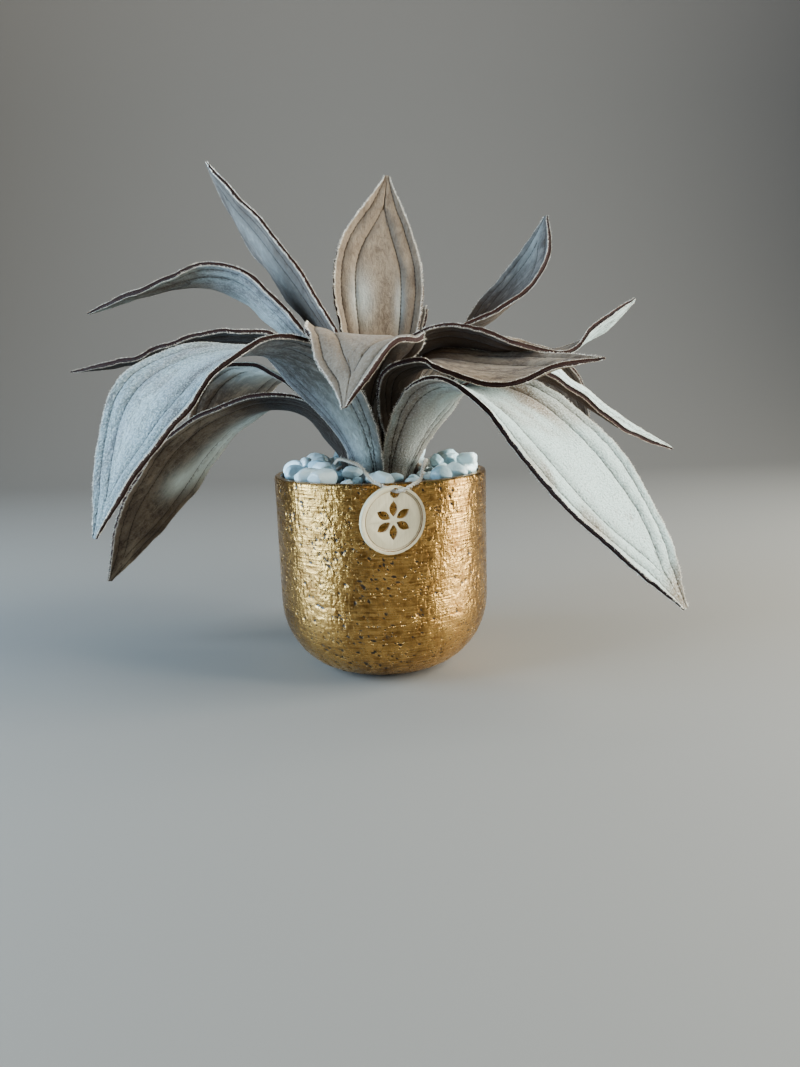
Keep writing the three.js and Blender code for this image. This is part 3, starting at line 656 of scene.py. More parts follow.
def gold_finish(look):
    """Metal leaf over pitted plaster: brushed round the pot in places, rough and flaky in others."""
    f = Finish("gold")
    wrap = f.place(uv="wrap")
    rough = f.noise(wrap, 210.0, 3.0, 0.5, 0.5)
    upright = f.noise(f.place(scale=(1.0, 0.3, 1.0), uv="wrap"), 420.0, 2.0, 0.5, 0.6)
    strokes = f.noise(f.place(scale=(0.05, 1.0, 1.0), uv="wrap"), 900.0, 2.0, 0.5)
    stain = f.noise(wrap, 60.0, 5.0, 0.65, 0.5)
    brushed = f.noise(wrap, 26.0, 2.0, 0.4).above(0.42, 0.58)
    grain = f.noise(wrap, 1500.0, 3.0, 0.7)
    cells = {"feature": "F1", "voronoi_dimensions": "2D"}
    spots = f.node("ShaderNodeTexVoronoi", cells, {"Vector": wrap, "Scale": 430.0})
    chance = spots.other("Color").above(0.64, 0.7)
    crowd = f.noise(wrap, 45.0, 3.0, 0.6).above(0.4, 0.6)
    holes = (1 - spots.above(0.14, 0.3)) * chance * crowd
    pit = f.attribute("pit")
    inside = f.attribute("inside")
    worn = stain * 0.45 + rough * 0.25 + strokes * 0.3
    both = pit.above(0.1, 0.45) + holes
    dark = both.math("MINIMUM", both, 1.0)
    base = f.mix(worn.above(0.36, 0.6), look.dark, look.bright)
    base = f.mix(grain.above(0.55, 0.8) * 0.3, base, TONES["gold_glint"])
    base = f.mix(dark, base, TONES["gold_pit"])
    base = f.mix(inside, base, TONES["pot_inside"])
    relief = rough * (1 - brushed * 0.6) + upright * 0.4 + strokes * brushed * 0.4 + grain * 0.04
    return f.surface(
        Base_Color=base,
        Metallic=(1 - dark * 0.9) * (1 - inside * 0.9),
        Roughness=0.22 + (1 - worn.above(0.3, 0.65)) * 0.16 + inside * 0.4,
        Normal=f.bump(relief - holes * 0.9, 0.0011, 0.85),
        Anisotropic=0.75,
        Anisotropic_Rotation=0.25,
    )


def stone_finish(look):
    """Tumbled stones, each of its own tone, with soft clouds and a half polish."""
    f = Finish("pebble")
    place = f.place()
    clouds = f.noise(place, 130.0, 4.0, 0.6, 0.8)
    specks = f.noise(place, 900.0, 2.0, 0.6)
    tone = f.attribute("tone")
    base = f.mix((tone * 0.7 + clouds * 0.6).above(0.25, 0.85), look.grey, look.pale)
    base = f.mix(specks.above(0.64, 0.8) * 0.2, base, TONES["stone_speck"])
    return f.surface(
        Base_Color=base,
        Roughness=0.3 + clouds * 0.25,
        Normal=f.bump(clouds * 0.7 + specks * 0.3, 0.0008, 0.6),
        Subsurface_Weight=0.3,
        Subsurface_Radius=(0.7, 0.8, 0.85),
        Subsurface_Scale=0.004,
        Coat_Weight=0.2,
    )


def bed_finish():
    """Dark grit under the stones."""
    f = Finish("bed")
    grit = f.noise(f.place(), 700.0, 4.0, 0.7)
    base = f.mix(grit.above(0.4, 0.7), TONES["grit_dark"], TONES["grit_pale"])
    return f.surface(Base_Color=base, Roughness=0.95 - grit * 0.1, Normal=f.bump(grit, 0.002))


def wood_finish(look):
    """Pale birch face with fine upright grain."""
    f = Finish("tag_wood")
    grain = f.noise(f.place(scale=(60.0, 60.0, 5.0)), 14.0, 5.0, 0.6, 0.5)
    pores = f.noise(f.place(scale=(1.0, 1.0, 0.25)), 1900.0, 2.0)
    base = f.mix(grain.above(0.3, 0.75) * 0.4, look.wood, TONES["wood_grain"])
    base = f.mix(pores.above(0.62, 0.75) * 0.3, base, TONES["wood_pore"])
    return f.surface(
        Base_Color=base, Roughness=0.5 + grain * 0.2, Normal=f.bump(grain + pores * 0.3, 0.0002, 0.6)
    )


def burnt_finish(look):
    """The brown edge that a laser leaves."""
    f = Finish("tag_edge")
    soot = f.noise(f.place(), 500.0, 3.0)
    base = f.mix(soot.above(0.3, 0.7), look.burnt, TONES["scorch"])
    return f.surface(Base_Color=base, Roughness=0.7 + soot * 0.1, Normal=f.bump(soot, 0.0002, 0.4))


def twine_finish(look):
    """Plant fibre: fine streaks along each ply."""
    f = Finish("jute")
    fibres = f.noise(f.place(scale=(4.0, 0.12, 1.0), uv="ply"), 60.0, 4.0, 0.6)
    base = f.mix(fibres.above(0.3, 0.7), TONES["twine_dark"], look.twine)
    return f.surface(
        Base_Color=base, Roughness=0.95 - fibres * 0.1, Normal=f.bump(fibres, 0.0004, 0.9),
        Sheen_Weight=0.3,
    )


def foam_finish():
    """Plain florist's foam."""
    f = Finish("filler")
    cells = f.noise(f.place(), 1100.0, 3.0, 0.7)
    base = f.mix(cells.above(0.35, 0.7), TONES["foam_dark"], TONES["foam_pale"])
    return f.surface(Base_Color=base, Roughness=0.95 - cells * 0.05, Normal=f.bump(cells, 0.0008))


def wire_finish():
    """Drawn steel wire."""
    f = Finish("wire")
    drawn = f.noise(f.place(scale=(1.0, 1.0, 0.05)), 2600.0, 3.0)
    base = f.mix(drawn.above(0.3, 0.7), TONES["steel_dark"], TONES["steel_pale"])
    return f.surface(
        Base_Color=base, Metallic=1.0 - drawn * 0.1, Roughness=0.3 + drawn * 0.2,
        Normal=f.bump(drawn, 0.0001, 0.4),
    )


def stage_finish(look):
    """Plain matt floor and wall."""
    return Finish("floor").surface(Base_Color=look.floor, Roughness=0.9)


def deselect():
    for piece in bpy.context.selected_objects:
        piece.select_set(False)


def newest(name):
    """Names the object that an operator has just added."""
    piece = bpy.context.object
    piece.name = name
    piece.data.name = name
    return piece


def only(piece):
    deselect()
    piece.select_set(True)
    bpy.context.view_layer.objects.active = piece


def settle(piece):
    """Puts the object's place into its mesh."""
    only(piece)
    bpy.ops.object.transform_apply(location=True, rotation=True, scale=True)


def apply_all(piece):
    only(piece)
    for modifier in list(piece.modifiers):
        bpy.ops.object.modifier_apply(modifier=modifier.name)


def shade(piece, smooth=True):
    """Shades every face smooth, or flat."""
    piece.data.polygons.foreach_set("use_smooth", [smooth] * len(piece.data.polygons))


def mesh_piece(name, points, faces, material, smooth=True):
    """A new object from points in millimetres and faces."""
    mesh = bpy.data.meshes.new(name)
    mesh.from_pydata((np.asarray(points) * MM).tolist(), [], faces)
    mesh.update()
    piece = bpy.data.objects.new(name, mesh)
    bpy.context.scene.collection.objects.link(piece)
    mesh.materials.append(material)
    shade(piece, smooth)
    return piece


def spike_faces(count):
    """Faces of slim closed spikes, each of three points at its foot and one at its tip."""
    faces = []
    for n in range(0, 4 * count, 4):
        faces += [(n, n + 1, n + 3), (n + 1, n + 2, n + 3), (n + 2, n, n + 3), (n, n + 2, n + 1)]
    return faces


@contextmanager
def edit_mode(piece):
    """Edit mode on one piece, as long as the block lasts."""
    only(piece)
    bpy.ops.object.mode_set(mode="EDIT")
    yield
    bpy.ops.object.mode_set(mode="OBJECT")


def face_outward():
    """In edit mode, turns every face of the closed mesh outwards."""
    bpy.ops.mesh.select_all(action="SELECT")
    bpy.ops.mesh.normals_make_consistent(inside=False)


def paint(piece, name, values):
    """A number for each point, for the material."""
    layer = piece.data.attributes.new(name, "FLOAT", "POINT")
    layer.data.foreach_set("value", np.asarray(values, np.float32).ravel())


def wrap_uv(piece, name, coordinates):
    """A UV map from a pair of numbers for each point."""
    layer = piece.data.uv_layers.new(name=name)
    corners = np.empty(len(piece.data.loops), np.int32)
    piece.data.loops.foreach_get("vertex_index", corners)
    layer.data.foreach_set("uv", np.asarray(coordinates, np.float32)[corners].ravel())


def finish_piece(piece, slot, *nodes):
    """Rides on the body and replaces the plain solids. The slot is not used."""
    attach(piece, "root")
    if nodes:
        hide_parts(*nodes)
    return piece


def waves(x, y, lengths, seed):
    """Gentle unevenness from -1 to 1: a sum of sine waves of given lengths in random directions."""
    draw = random.Random(seed)
    total = np.zeros_like(x, dtype=float)
    for length in lengths:
        angle = draw.uniform(0, math.pi)
        phase = draw.uniform(0, 2 * math.pi)
        total = total + np.sin(
            (x * math.cos(angle) + y * math.sin(angle)) * 2 * math.pi / length + phase
        )
    return total / len(lengths)


def through(points, t, centripetal):
    """Points at t, from 0 to 1, on the smooth curve through a list of rows."""
    points = np.asarray(points, float)
    place = np.clip(t, 0, 1) * (len(points) - 1)
    piece = np.minimum(place.astype(int), len(points) - 2)
    w = (place - piece)[:, None]
    ends = np.vstack([2 * points[0] - points[1], points, 2 * points[-1] - points[-2]])
    p0, p1, p2, p3 = (ends[piece + k] for k in range(4))
    if centripetal:
        d0, d1, d2 = (
            np.maximum(((b - a) ** 2).sum(1)[:, None] ** 0.25, 1e-4)
            for a, b in ((p0, p1), (p1, p2), (p2, p3))
        )
        m1 = ((p1 - p0) / d0 - (p2 - p0) / (d0 + d1) + (p2 - p1) / d1) * d1
        m2 = ((p2 - p1) / d1 - (p3 - p1) / (d1 + d2) + (p3 - p2) / d2) * d1
    else:
        m1 = (p2 - p0) / 2
        m2 = (p3 - p1) / 2
    return (
        p1 + m1 * w + (3 * (p2 - p1) - 2 * m1 - m2) * w**2 + (2 * (p1 - p2) + m1 + m2) * w**3
    )


def even_steps(points, shares):
    """The parameters of a centripetal curve at given shares of its length, and that length."""
    t = np.linspace(0, 1, LINE_STEPS)
    line = through(points, t, True)
    run = np.concatenate([[0], np.cumsum(np.linalg.norm(np.diff(line, axis=0), axis=1))])
    return np.interp(np.asarray(shares) * run[-1], run, t), run[-1]


def unit(rows):
    return rows / np.linalg.norm(rows, axis=-1, keepdims=True)


def turned_about(rows, axes, angles):
    """Each row turned about its own axis, at right angles to it."""
    c = np.cos(angles)[:, None]
    s = np.sin(angles)[:, None]
    return rows * c + np.cross(axes, rows) * s


class Blade:
    """The middle surface of a leaf: where a point across and along it lies."""

    def __init__(self, leaf, rows):
        ring = RINGS[leaf["ring"]]
        angle = math.radians(leaf["root"])
        turn = (leaf["root"] - leaf["heading"] + 180) % 360 - 180
        cup = math.degrees(ring["half_width"] / ring["radius"])
        stations = [
            (out * math.cos(angle), out * math.sin(angle), z, turn, bent)
            for out, z, bent in (
                (ring["radius"], ROOT_FOOT, cup),
                (ring["radius"] + SLEEVE_OUT, SLEEVE_TOP, cup * SLEEVE_CUP),
            )
        ]
        stations = np.array([*stations, *leaf["path"]], float)
        self.shares = np.linspace(0, 1, rows + 1)
        t, self.length = even_steps(stations[:, :3], self.shares)
        self.centre = through(stations[:, :3], t, True)
        ahead = through(stations[:, :3], np.minimum(t + NEARBY, 1), True)
        behind = through(stations[:, :3], np.maximum(t - NEARBY, 0), True)
        self.along = unit(ahead - behind)
        bend = through(stations[:, 3:], t, False)
        heading = math.radians(leaf["heading"])
        sideways = np.array([-math.sin(heading), math.cos(heading), 0.0])
        side = unit(sideways - self.along * (self.along @ sideways)[:, None])
        roll = np.radians(bend[:, 0])
        self.side = turned_about(side, self.along, roll)
        self.up = turned_about(np.cross(self.along, side), self.along, roll)
        self.cup = np.maximum(np.radians(bend[:, 1]), LEAST_CUP)
        self.half_width = self.width_at(leaf, ring["half_width"])

    def width_at(self, leaf, root):
        """Half the width of each row, from the root past the widest place to the tip."""
        s = self.shares
        widest = 1 - leaf["tip"]
        opened = np.sin(math.pi / 2 * np.minimum(s / widest, 1)) ** leaf["swell"]
        low = root + (leaf["half_width"] - root) * opened
        left = np.clip((1 - s) / leaf["tip"], 0, 1)
        high = np.hypot(2 * TIP_HALF_WIDTH, leaf["half_width"] * np.sin(math.pi / 2 * left))
        return np.where(s >= widest, high, low)

    def lay(self, across, height):
        """Points at distances across each row and at heights over the middle surface."""
        w = self.half_width[:, None]
        c = self.cup[:, None]
        a = c * across / w
        side = self.side[:, None, :]
        up = self.up[:, None, :]
        on = (
            self.centre[:, None, :]
            + side * (w * np.sin(a) / c)[..., None]
            + up * (w * (1 - np.cos(a)) / c)[..., None]
        )
        normal = up * np.cos(a)[..., None] - side * np.sin(a)[..., None]
        return on + normal * height[..., None], normal


def smooth_step(x):
    x = np.clip(x, 0, 1)
    return x * x * (3 - 2 * x)


def gleam_over(leaf, blade, across, upper):
    """How strongly each point of a leaf catches a window's light."""
    place = across / blade.half_width[:, None]
    total = np.zeros_like(across)
    for face, share, middle, long, wide, strength in GLEAMS.get(leaf["name"], []):
        far = ((blade.shares[:, None] - share) / long) ** 2 + ((place - middle) / wide) ** 2
        total = total + strength * np.exp(-far) * (upper == (face == "upper"))[None, :]
    return np.clip(total, 0, 1)


class Ply:
    """Half of one ply, from the middle of the leaf out to its raw edge: places, heights and marks."""

    def __init__(self, blade, seed, side):
        s = blade.shares
        down = (1 - s) * blade.length
        up = s * blade.length
        jag = waves(up, up * RAGGED["slant"], RAGGED["lengths"], seed * 7 + side) * RAGGED["size"]
        w = blade.half_width + jag * smooth_step((down - 3) / 10)
        edge = np.minimum(EDGE_BAND, EDGE_SHARE * w)
        t = np.clip((down - RIB_MEET) / RIB_SPREAD, 0, 1)
        share = RIB_SHARE * (1 - (1 - t) ** 2) + 0.02
        rib = np.maximum(np.minimum(share * w, w - edge - 1.0), 0.03 * w)
        stitched = w - edge
        sewn = smooth_step((down - RIB_MEET + 2) / 4)
        self.columns = []
        self.panel(0 * w, rib, CENTRE_COLUMNS, CENTRE_PUFF, (0 * w, sewn))
        self.panel(rib, stitched, SIDE_COLUMNS, SIDE_PUFF, (sewn, 1 + 0 * w))
        self.edge_band(stitched, w)
        self.across, self.height, self.seam, self.rim = (
            np.stack([column[k] for column in self.columns], 1) for k in range(4)
        )
        self.core = np.zeros_like(self.seam)
        root_calm = 0.6 + 0.4 * smooth_step((s - 0.2) / 0.12)
        self.height = self.height * root_calm[:, None]
        # Where the cloth gathers beside the seams, for the puckers and for the painted shade in them
        near = np.exp(-np.abs(self.across - rib[:, None]) / GATHERS["rib_reach"]) * sewn[:, None]
        beside = np.exp(-np.abs(self.across - stitched[:, None]) / GATHERS["edge_reach"])
        self.gather_and_shade = near + beside
        self.pucker(up, seed, side)
        self.turn_edge(w)

    def panel(self, low, high, shares, puff, ends):
        """Columns between two seams, close together beside each seam."""
        room = high - low
        full = puff * np.minimum(1, room / FULL_ROOM)
        close = [np.minimum(d, SEAM_CLOSE * d * room) for d in SEAM_STEPS]
        steps = [*close, *[room * f for f in shares], *[room - d for d in close[::-1]], room]
        if not self.columns:
            steps = [0 * room, *steps[len(close):]]
        for d in steps:
            off_low = d + UNSEWN * (1 - ends[0])
            off_high = room - d + UNSEWN * (1 - ends[1])
            near = np.minimum(off_low, off_high)
            height = PLY_AT_SEAM + full * (1 - np.exp(-near / SEAM_GROOVE))
            seam = np.maximum(0, 1 - near / SEAM_WIDTH)
            self.columns.append((low + d, height, seam, 0 * d))

    def edge_band(self, stitched, w):
        """Columns between the outer seam and the raw edge, where the pile turns pale."""
        room = w - stitched
        steps = [np.minimum(d, SEAM_CLOSE * d * room) for d in SEAM_STEPS]
        steps += [room * f for f in EDGE_COLUMNS]
        lift = (PLY_AT_EDGE - PLY_AT_SEAM) * np.minimum(1, w / NARROW)
        for d in steps:
            height = PLY_AT_SEAM + lift * (1 - np.exp(-d / SEAM_GROOVE)) / EDGE_RISE
            seam = np.maximum(0, 1 - d / SEAM_WIDTH)
            pale = np.clip((d / room - 0.8) / 0.2, 0, 1)
            self.columns.append((stitched + d, height, seam, pale))

    def pucker(self, up, seed, side):
        """Small gathers beside each seam, and soft creases between them."""
        x = self.across
        y = np.repeat(up[:, None], x.shape[1], 1)
        drift = 3 * waves(y, x, GATHERS["drift"], seed + side + 3)
        gathers = np.sin(y * 2 * math.pi / GATHERS["length"] + drift)
        creases = waves(x * CREASES["slant"], y, CREASES["lengths"], seed * 3 + side)
        loose = np.clip(self.height - PLY_AT_SEAM, 0, 1)
        relief = GATHERS["size"] * gathers * self.gather_and_shade + CREASES["size"] * creases
        self.height = self.height + loose * relief

    def turn_edge(self, w):
        """Adds the columns where the ply turns over its raw edge to the core."""
        small = np.minimum(1, w / NARROW)
        last = self.height[:, -1]
        for out, share, core in RIM:
            column = {
                "across": w + out * small, "height": last * share, "seam": 0 * w, "gather_and_shade": 0 * w,
                "rim": np.full_like(w, max(0.0, 1 - 2 * core)), "core": np.full_like(w, core),
            }
            for name, values in column.items():
                setattr(self, name, np.column_stack([getattr(self, name), values]))


def sway(blade, across, seed):
    """How far the cloth stands off its middle surface: more towards the edges."""
    y = np.repeat((blade.shares * blade.length)[:, None], across.shape[1], 1)
    free = np.abs(across / blade.half_width[:, None]) ** 2.5
    side = np.where(across > 0, 1.0, 0.0)
    y = y + RUFFLES["apart"] * side
    ruffle = waves(y, across * RUFFLES["slant"], RUFFLES["lengths"], seed + 11)
    risen = smooth_step((blade.shares - 0.25) / 0.2)[:, None]
    size = np.minimum(1, blade.half_width / 24)[:, None]
    return RUFFLES["size"] * ruffle * free * risen * size


def leaf_ring(halves):
    """The columns of a leaf, once round both of its faces: places, heights and marks."""
    last = halves[1, 1].across.shape[1] - 1
    # Both plies share the core column, and the halves of a face share its middle column
    ring = (
        (1, 1, range(last + 1)), (-1, 1, range(last - 1, -1, -1)),
        (-1, -1, range(1, last + 1)), (1, -1, range(last - 1, 0, -1)),
    )
    across, height = [], []
    marks = {"seam": [], "gather_and_shade": [], "rim": [], "core": []}
    for face, side, columns in ring:
        for k in columns:
            across.append(side * halves[1, side].across[:, k])
            height.append(face * halves[face, side].height[:, k])
            for name, column in marks.items():
                column.append(getattr(halves[face, side], name)[:, k])
    marks = {name: np.stack(column, 1) for name, column in marks.items()}
    return np.stack(across, 1), np.stack(height, 1), marks


def ring_faces(rows, columns):
    """Faces of a closed ring of columns, and fans to the foot and the tip, its last two points."""
    faces = []
    for i in range(rows - 1):
        for k in range(columns):
            a = i * columns + k
            b = i * columns + (k + 1) % columns
            faces.append((a, a + columns, b + columns, b))
    foot, tip = rows * columns, rows * columns + 1
    top = (rows - 1) * columns
    for k in range(columns):
        after = (k + 1) % columns
        faces.append((foot, k, after))
        faces.append((tip, top + after, top + k))
    return faces


def paint_pile(piece, leaf, blade, across, height):
    """Painted light and shade on the pile: how it lies, raised, gleaming, cool or calm, over the rows
    and at the foot and the tip.
    """
    begin, end = leaf.get("turn", NAP_AND_LIGHT_TURN)
    near_tip = smooth_step((blade.shares - begin) / (end - begin))[:, None]
    ends = [np.broadcast_to(pair, 2) for pair in (*leaf["nap"], leaf.get("cool_light", 0.0))]
    upper, lower, cool_light = (root * (1 - near_tip) + tip * near_tip for root, tip in ends)
    facing_up = height.mean(0) > 0
    nap = np.where(facing_up[None, :], upper, lower)
    cool_light = np.repeat(cool_light, across.shape[1], 1)
    gleam = gleam_over(leaf, blade, across, facing_up)
    for name, values, last in (("nap", nap, ends[0]), ("gleam", gleam, (0, 0)), ("cool_light", cool_light, ends[2])):
        paint(piece, name, np.append(values.ravel(), last))
    paint(piece, "calm", np.full(len(piece.data.vertices), leaf.get("calm", 0.0)))


def leaf_mesh(leaf, seed, velvet):
    """One leaf of two plies, sewn together and closed along its raw edges."""
    blade = Blade(leaf, LEAF_ROWS)
    halves = {
        (face, side): Ply(blade, seed * 4 + (face > 0), side) for face in (1, -1) for side in (1, -1)
    }
    across, height, marks = leaf_ring(halves)
    points, _ = blade.lay(across, height + sway(blade, across, seed))
    tip = blade.centre[-1] + blade.along[-1] * TIP_BEYOND
    points = np.vstack([points.reshape(-1, 3), blade.centre[0], tip])
    name = leaf["name"].replace("leaf", "velvet")
    piece = mesh_piece(name, points, ring_faces(*across.shape), velvet)
    with edit_mode(piece):
        face_outward()
    for name, values in marks.items():
        paint(piece, name, np.append(values.ravel(), (0, 0)))
    paint_pile(piece, leaf, blade, across, height)
    up = np.repeat((blade.shares * blade.length)[:, None], across.shape[1], 1)
    lower = np.where(height.mean(0) < 0, CLOTH_LOWER, 0.0)
    places = np.stack([across + lower[None, :] + CLOTH_APART * seed, up], -1)
    uv = places.reshape(-1, 2) / CLOTH_UNIT
    wrap_uv(piece, "cloth", np.vstack([uv, uv[:1], uv[-1:]]))
    return piece, blade, halves


def pile_fringe(name, blade, halves, seed, material, longest):
    """Loose pile threads along the raw edges of both plies, each a slim closed spike."""
    draw = np.random.default_rng(seed + FRINGE["seed"])
    bases, ways, sizes = [], [], []
    rim = len(halves[1, 1].columns)
    up_rows = blade.shares * blade.length
    for (face, side), ply in halves.items():
        across = side * halves[1, side].across[:, rim : rim + 1]
        height = face * ply.height[:, rim : rim + 1] + sway(blade, across, seed)
        edge, normal = blade.lay(across, height)
        inner, _ = blade.lay(across - side * 1.0, height)
        count = int(blade.length / FRINGE["every"])
        where = np.sort(draw.uniform(FRINGE["from"], blade.length, count))
        base, out, off, run = (
            np.stack([np.interp(where, up_rows, rows[:, k]) for k in range(3)], 1)
            for rows in (edge[:, 0], unit(edge[:, 0] - inner[:, 0]), normal[:, 0], blade.along)
        )
        spread = draw.normal(0, 1, (count, 2))
        bases.append(base)
        ways.append(unit(out + off * spread[:, :1] * 0.35 + run * (spread[:, 1:] * 0.5 + 0.25)))
        clumps = 0.65 + 0.35 * waves(where, where * 0, FRINGE["clumps"], seed + face + 2 * side)
        sizes.append(longest / MM * clumps * draw.uniform(0.35, 1.0, count) ** 1.3)
    base = np.vstack(bases)
    way = np.vstack(ways)
    guide = unit(np.cross(way, np.array([0.31, 0.57, 0.76])))
    other = np.cross(way, guide)
    start = base - way * FRINGE["rooted"]
    foot = [
        start + FRINGE["half_width"] * (guide * math.cos(a) + other * math.sin(a))
        for a in (0, 2.1, 4.2)
    ]
    points = np.stack([*foot, base + way * np.concatenate(sizes)[:, None]], 1).reshape(-1, 3)
    return mesh_piece(name, points, spike_faces(len(base)), material, smooth=False)


def pot_profile(radius, foot, low, high, steps):
    """The rounded bottom, as a quarter of an ellipse from its foot to the upright wall."""
    angles = np.linspace(0, math.pi / 2, steps + 1)
    return [
        (foot + (radius - foot) * math.sin(a), high - (high - low) * math.cos(a)) for a in angles
    ]


def spread_even(profile, step):
    """The same line with a point about every step."""
    line = np.array(profile)
    run = np.concatenate([[0], np.cumsum(np.linalg.norm(np.diff(line, axis=0), axis=1))])
    at = np.linspace(0, run[-1], max(2, int(run[-1] / step)) + 1)
    return list(zip(np.interp(at, run, line[:, 0]), np.interp(at, run, line[:, 1])))


def sort_faces(mesh):
    """Puts the faces of a mesh into one order, because a spin leaves them in another one each time."""
    points = [tuple(vertex.co) for vertex in mesh.vertices]
    faces = sorted(tuple(face.vertices) for face in mesh.polygons)
    mesh.clear_geometry()
    mesh.from_pydata(points, [], faces)


def spun(name, profile, sides, material):
    """A closed shape of turning: a profile from axis to axis, spun round Z by hand as in edit mode."""
    bpy.ops.mesh.primitive_plane_add(size=0.001)
    piece = newest(name)
    mesh = piece.data
    mesh.clear_geometry()
    line = [(r * MM, 0.0, z * MM) for r, z in profile]
    mesh.from_pydata(line, [(k, k + 1) for k in range(len(line) - 1)], [])
    with edit_mode(piece):
        bpy.ops.mesh.select_all(action="SELECT")
        bpy.ops.mesh.spin(
            steps=sides, angle=2 * math.pi, center=(0, 0, 0), axis=(0, 0, 1), use_auto_merge=True
        )
        bpy.ops.mesh.select_all(action="SELECT")
        bpy.ops.mesh.remove_doubles(threshold=2e-6)
        face_outward()
    sort_faces(mesh)
    shade(piece)
    mesh.materials.clear()
    mesh.materials.append(material)
    return piece


def points_of(piece):
    points = np.empty(len(piece.data.vertices) * 3)
    piece.data.vertices.foreach_get("co", points)
    return points.reshape(-1, 3) / MM


def set_points(piece, points):
    piece.data.vertices.foreach_set("co", (points * MM).ravel())
    piece.data.update()


def ply_tube(line, side, up, distance, lay):
    """The points of one ply, twisted round the route, with its faces and texture places."""
    sides = PLY["sides"]
    turn = distance / PLY["lay"] * 2 * math.pi + lay
    wave = waves(distance, distance * 0, (7, 11, 17), 5 + int(lay))
    radius = PLY["radius"] + PLY["uneven"] * wave
    centre = line + PLY["off"] * (side * np.cos(turn)[:, None] + up * np.sin(turn)[:, None])
    points, places, faces = [], [], []
    for i, middle in enumerate(centre):
        for k in range(sides):
            a = k / sides * 2 * math.pi
            points.append(middle + radius[i] * (side[i] * math.cos(a) + up[i] * math.sin(a)))
            places.append((k / sides + distance[i] / PLY["lay"], distance[i] / 10))
    for i in range(len(line) - 1):
        for k in range(sides):
            a, b = i * sides + k, i * sides + (k + 1) % sides
            faces.append((a, b, b + sides, a + sides))
    faces.append(tuple(range(sides))[::-1])
    faces.append(tuple(range((len(line) - 1) * sides, len(line) * sides)))
    return points, places, faces


def hair(draw, start, out, along):
    """One loose fibre, as a thin spike that leans out of the twine."""
    way = out * draw.uniform(0.3, 1.0) + along * draw.uniform(-1.2, 1.2)
    way = unit(way[None])[0] * draw.uniform(HAIRS["least"], HAIRS["most"]) * draw.uniform(0.4, 1.0)
    guide = unit(np.cross(way, (0.3, 0.5, 0.8))[None])[0] * HAIRS["half_width"]
    other = unit(np.cross(way, guide)[None])[0] * HAIRS["half_width"]
    return [start + guide, start - guide + other, start - guide - other, start + way]


def twine_hairs(line, along, side, up, material):
    """Loose fibres that stand out of the twine all along it."""
    points = []
    draw = random.Random(HAIRS["seed"])
    for _ in range(HAIRS["count"]):
        i = draw.randrange(4, len(line) - 4)
        a = draw.uniform(0, 2 * math.pi)
        out = side[i] * math.cos(a) + up[i] * math.sin(a)
        points += hair(draw, line[i] + out * HAIRS["from"], out, along[i])
    piece = mesh_piece("twine_hairs", points, spike_faces(HAIRS["count"]), material)
    wrap_uv(piece, "ply", [(0, 0)] * len(points))
    return piece


def twine_line(route):
    """Points along the route, its directions to the side and up, and its length."""
    shares = np.linspace(0, 1, PLY["steps"])
    t, length = even_steps(route, shares)
    line = through(route, t, True)
    along = unit(np.gradient(line, axis=0))
    side = np.zeros_like(line)
    side[0] = unit(np.cross(along[0], (0, 0, 1.0)))
    for i in range(1, len(line)):
        carried = side[i - 1] - along[i] * (side[i - 1] @ along[i])
        side[i] = carried / np.linalg.norm(carried)
    return line, along, side, np.cross(along, side), shares * length


def twine_mesh(line, side, up, distance, material):
    """Two plies twisted round the line, as closed tubes."""
    points, faces, uvs = [], [], []
    for lay in (0, math.pi):
        first = len(points)
        tube, places, quads = ply_tube(line, side, up, distance, lay)
        points += tube
        uvs += places
        faces += [tuple(first + k for k in face) for face in quads]
    piece = mesh_piece("twine_plies", points, faces, material)
    wrap_uv(piece, "ply", uvs)
    return piece


def petal_cutter(angle, material):
    """A prism with two curved sides that cuts one petal of the rosette."""
    start, end, bulge = ROSETTE["from"], ROSETTE["to"], ROSETTE["half_width"]
    bpy.ops.mesh.primitive_cylinder_add(vertices=40, radius=1.0, depth=TAG_THICKNESS * 3 * MM)
    piece = newest("petal")
    points = points_of(piece)
    a = np.arctan2(points[:, 1], points[:, 0])
    t = (1 + np.cos(a)) / 2
    reach = start + (end - start) * t
    wide = bulge * 4 * t * (1 - t) * np.sign(np.sin(a)) * (np.abs(np.sin(a)) > 1e-4)
    points[:, 0] = reach * math.cos(angle) - wide * math.sin(angle)
    points[:, 1] = reach * math.sin(angle) + wide * math.cos(angle)
    set_points(piece, points)
    piece.data.materials.append(material)
    return piece


def cut(piece, cutter):
    only(piece)
    hole = piece.modifiers.new("cut", "BOOLEAN")
    hole.operation = "DIFFERENCE"
    hole.object = cutter
    hole.solver = "EXACT"
    hole.material_mode = "TRANSFER"
    bpy.ops.object.modifier_apply(modifier=hole.name)
    bpy.data.objects.remove(cutter, do_unlink=True)


def seeded(seed):
    """Draws numbers from 0 to 1, the same ones as the part's own source draws."""
    state = seed

    def draw():
        nonlocal state
        state = (state * 16807) % 2147483647
        return state / 2147483647

    return draw


def lane_distance(x, y):
    """How far a point lies from the twine's way over the stones."""
    gaps = []
    for (ax, ay), (bx, by) in LANES:
        dx, dy = bx - ax, by - ay
        t = ((x - ax) * dx + (y - ay) * dy) / (dx * dx + dy * dy)
        t = min(1, max(0, t))
        gaps.append(math.hypot(x - ax - dx * t, y - ay - dy * t))
    return min(gaps)


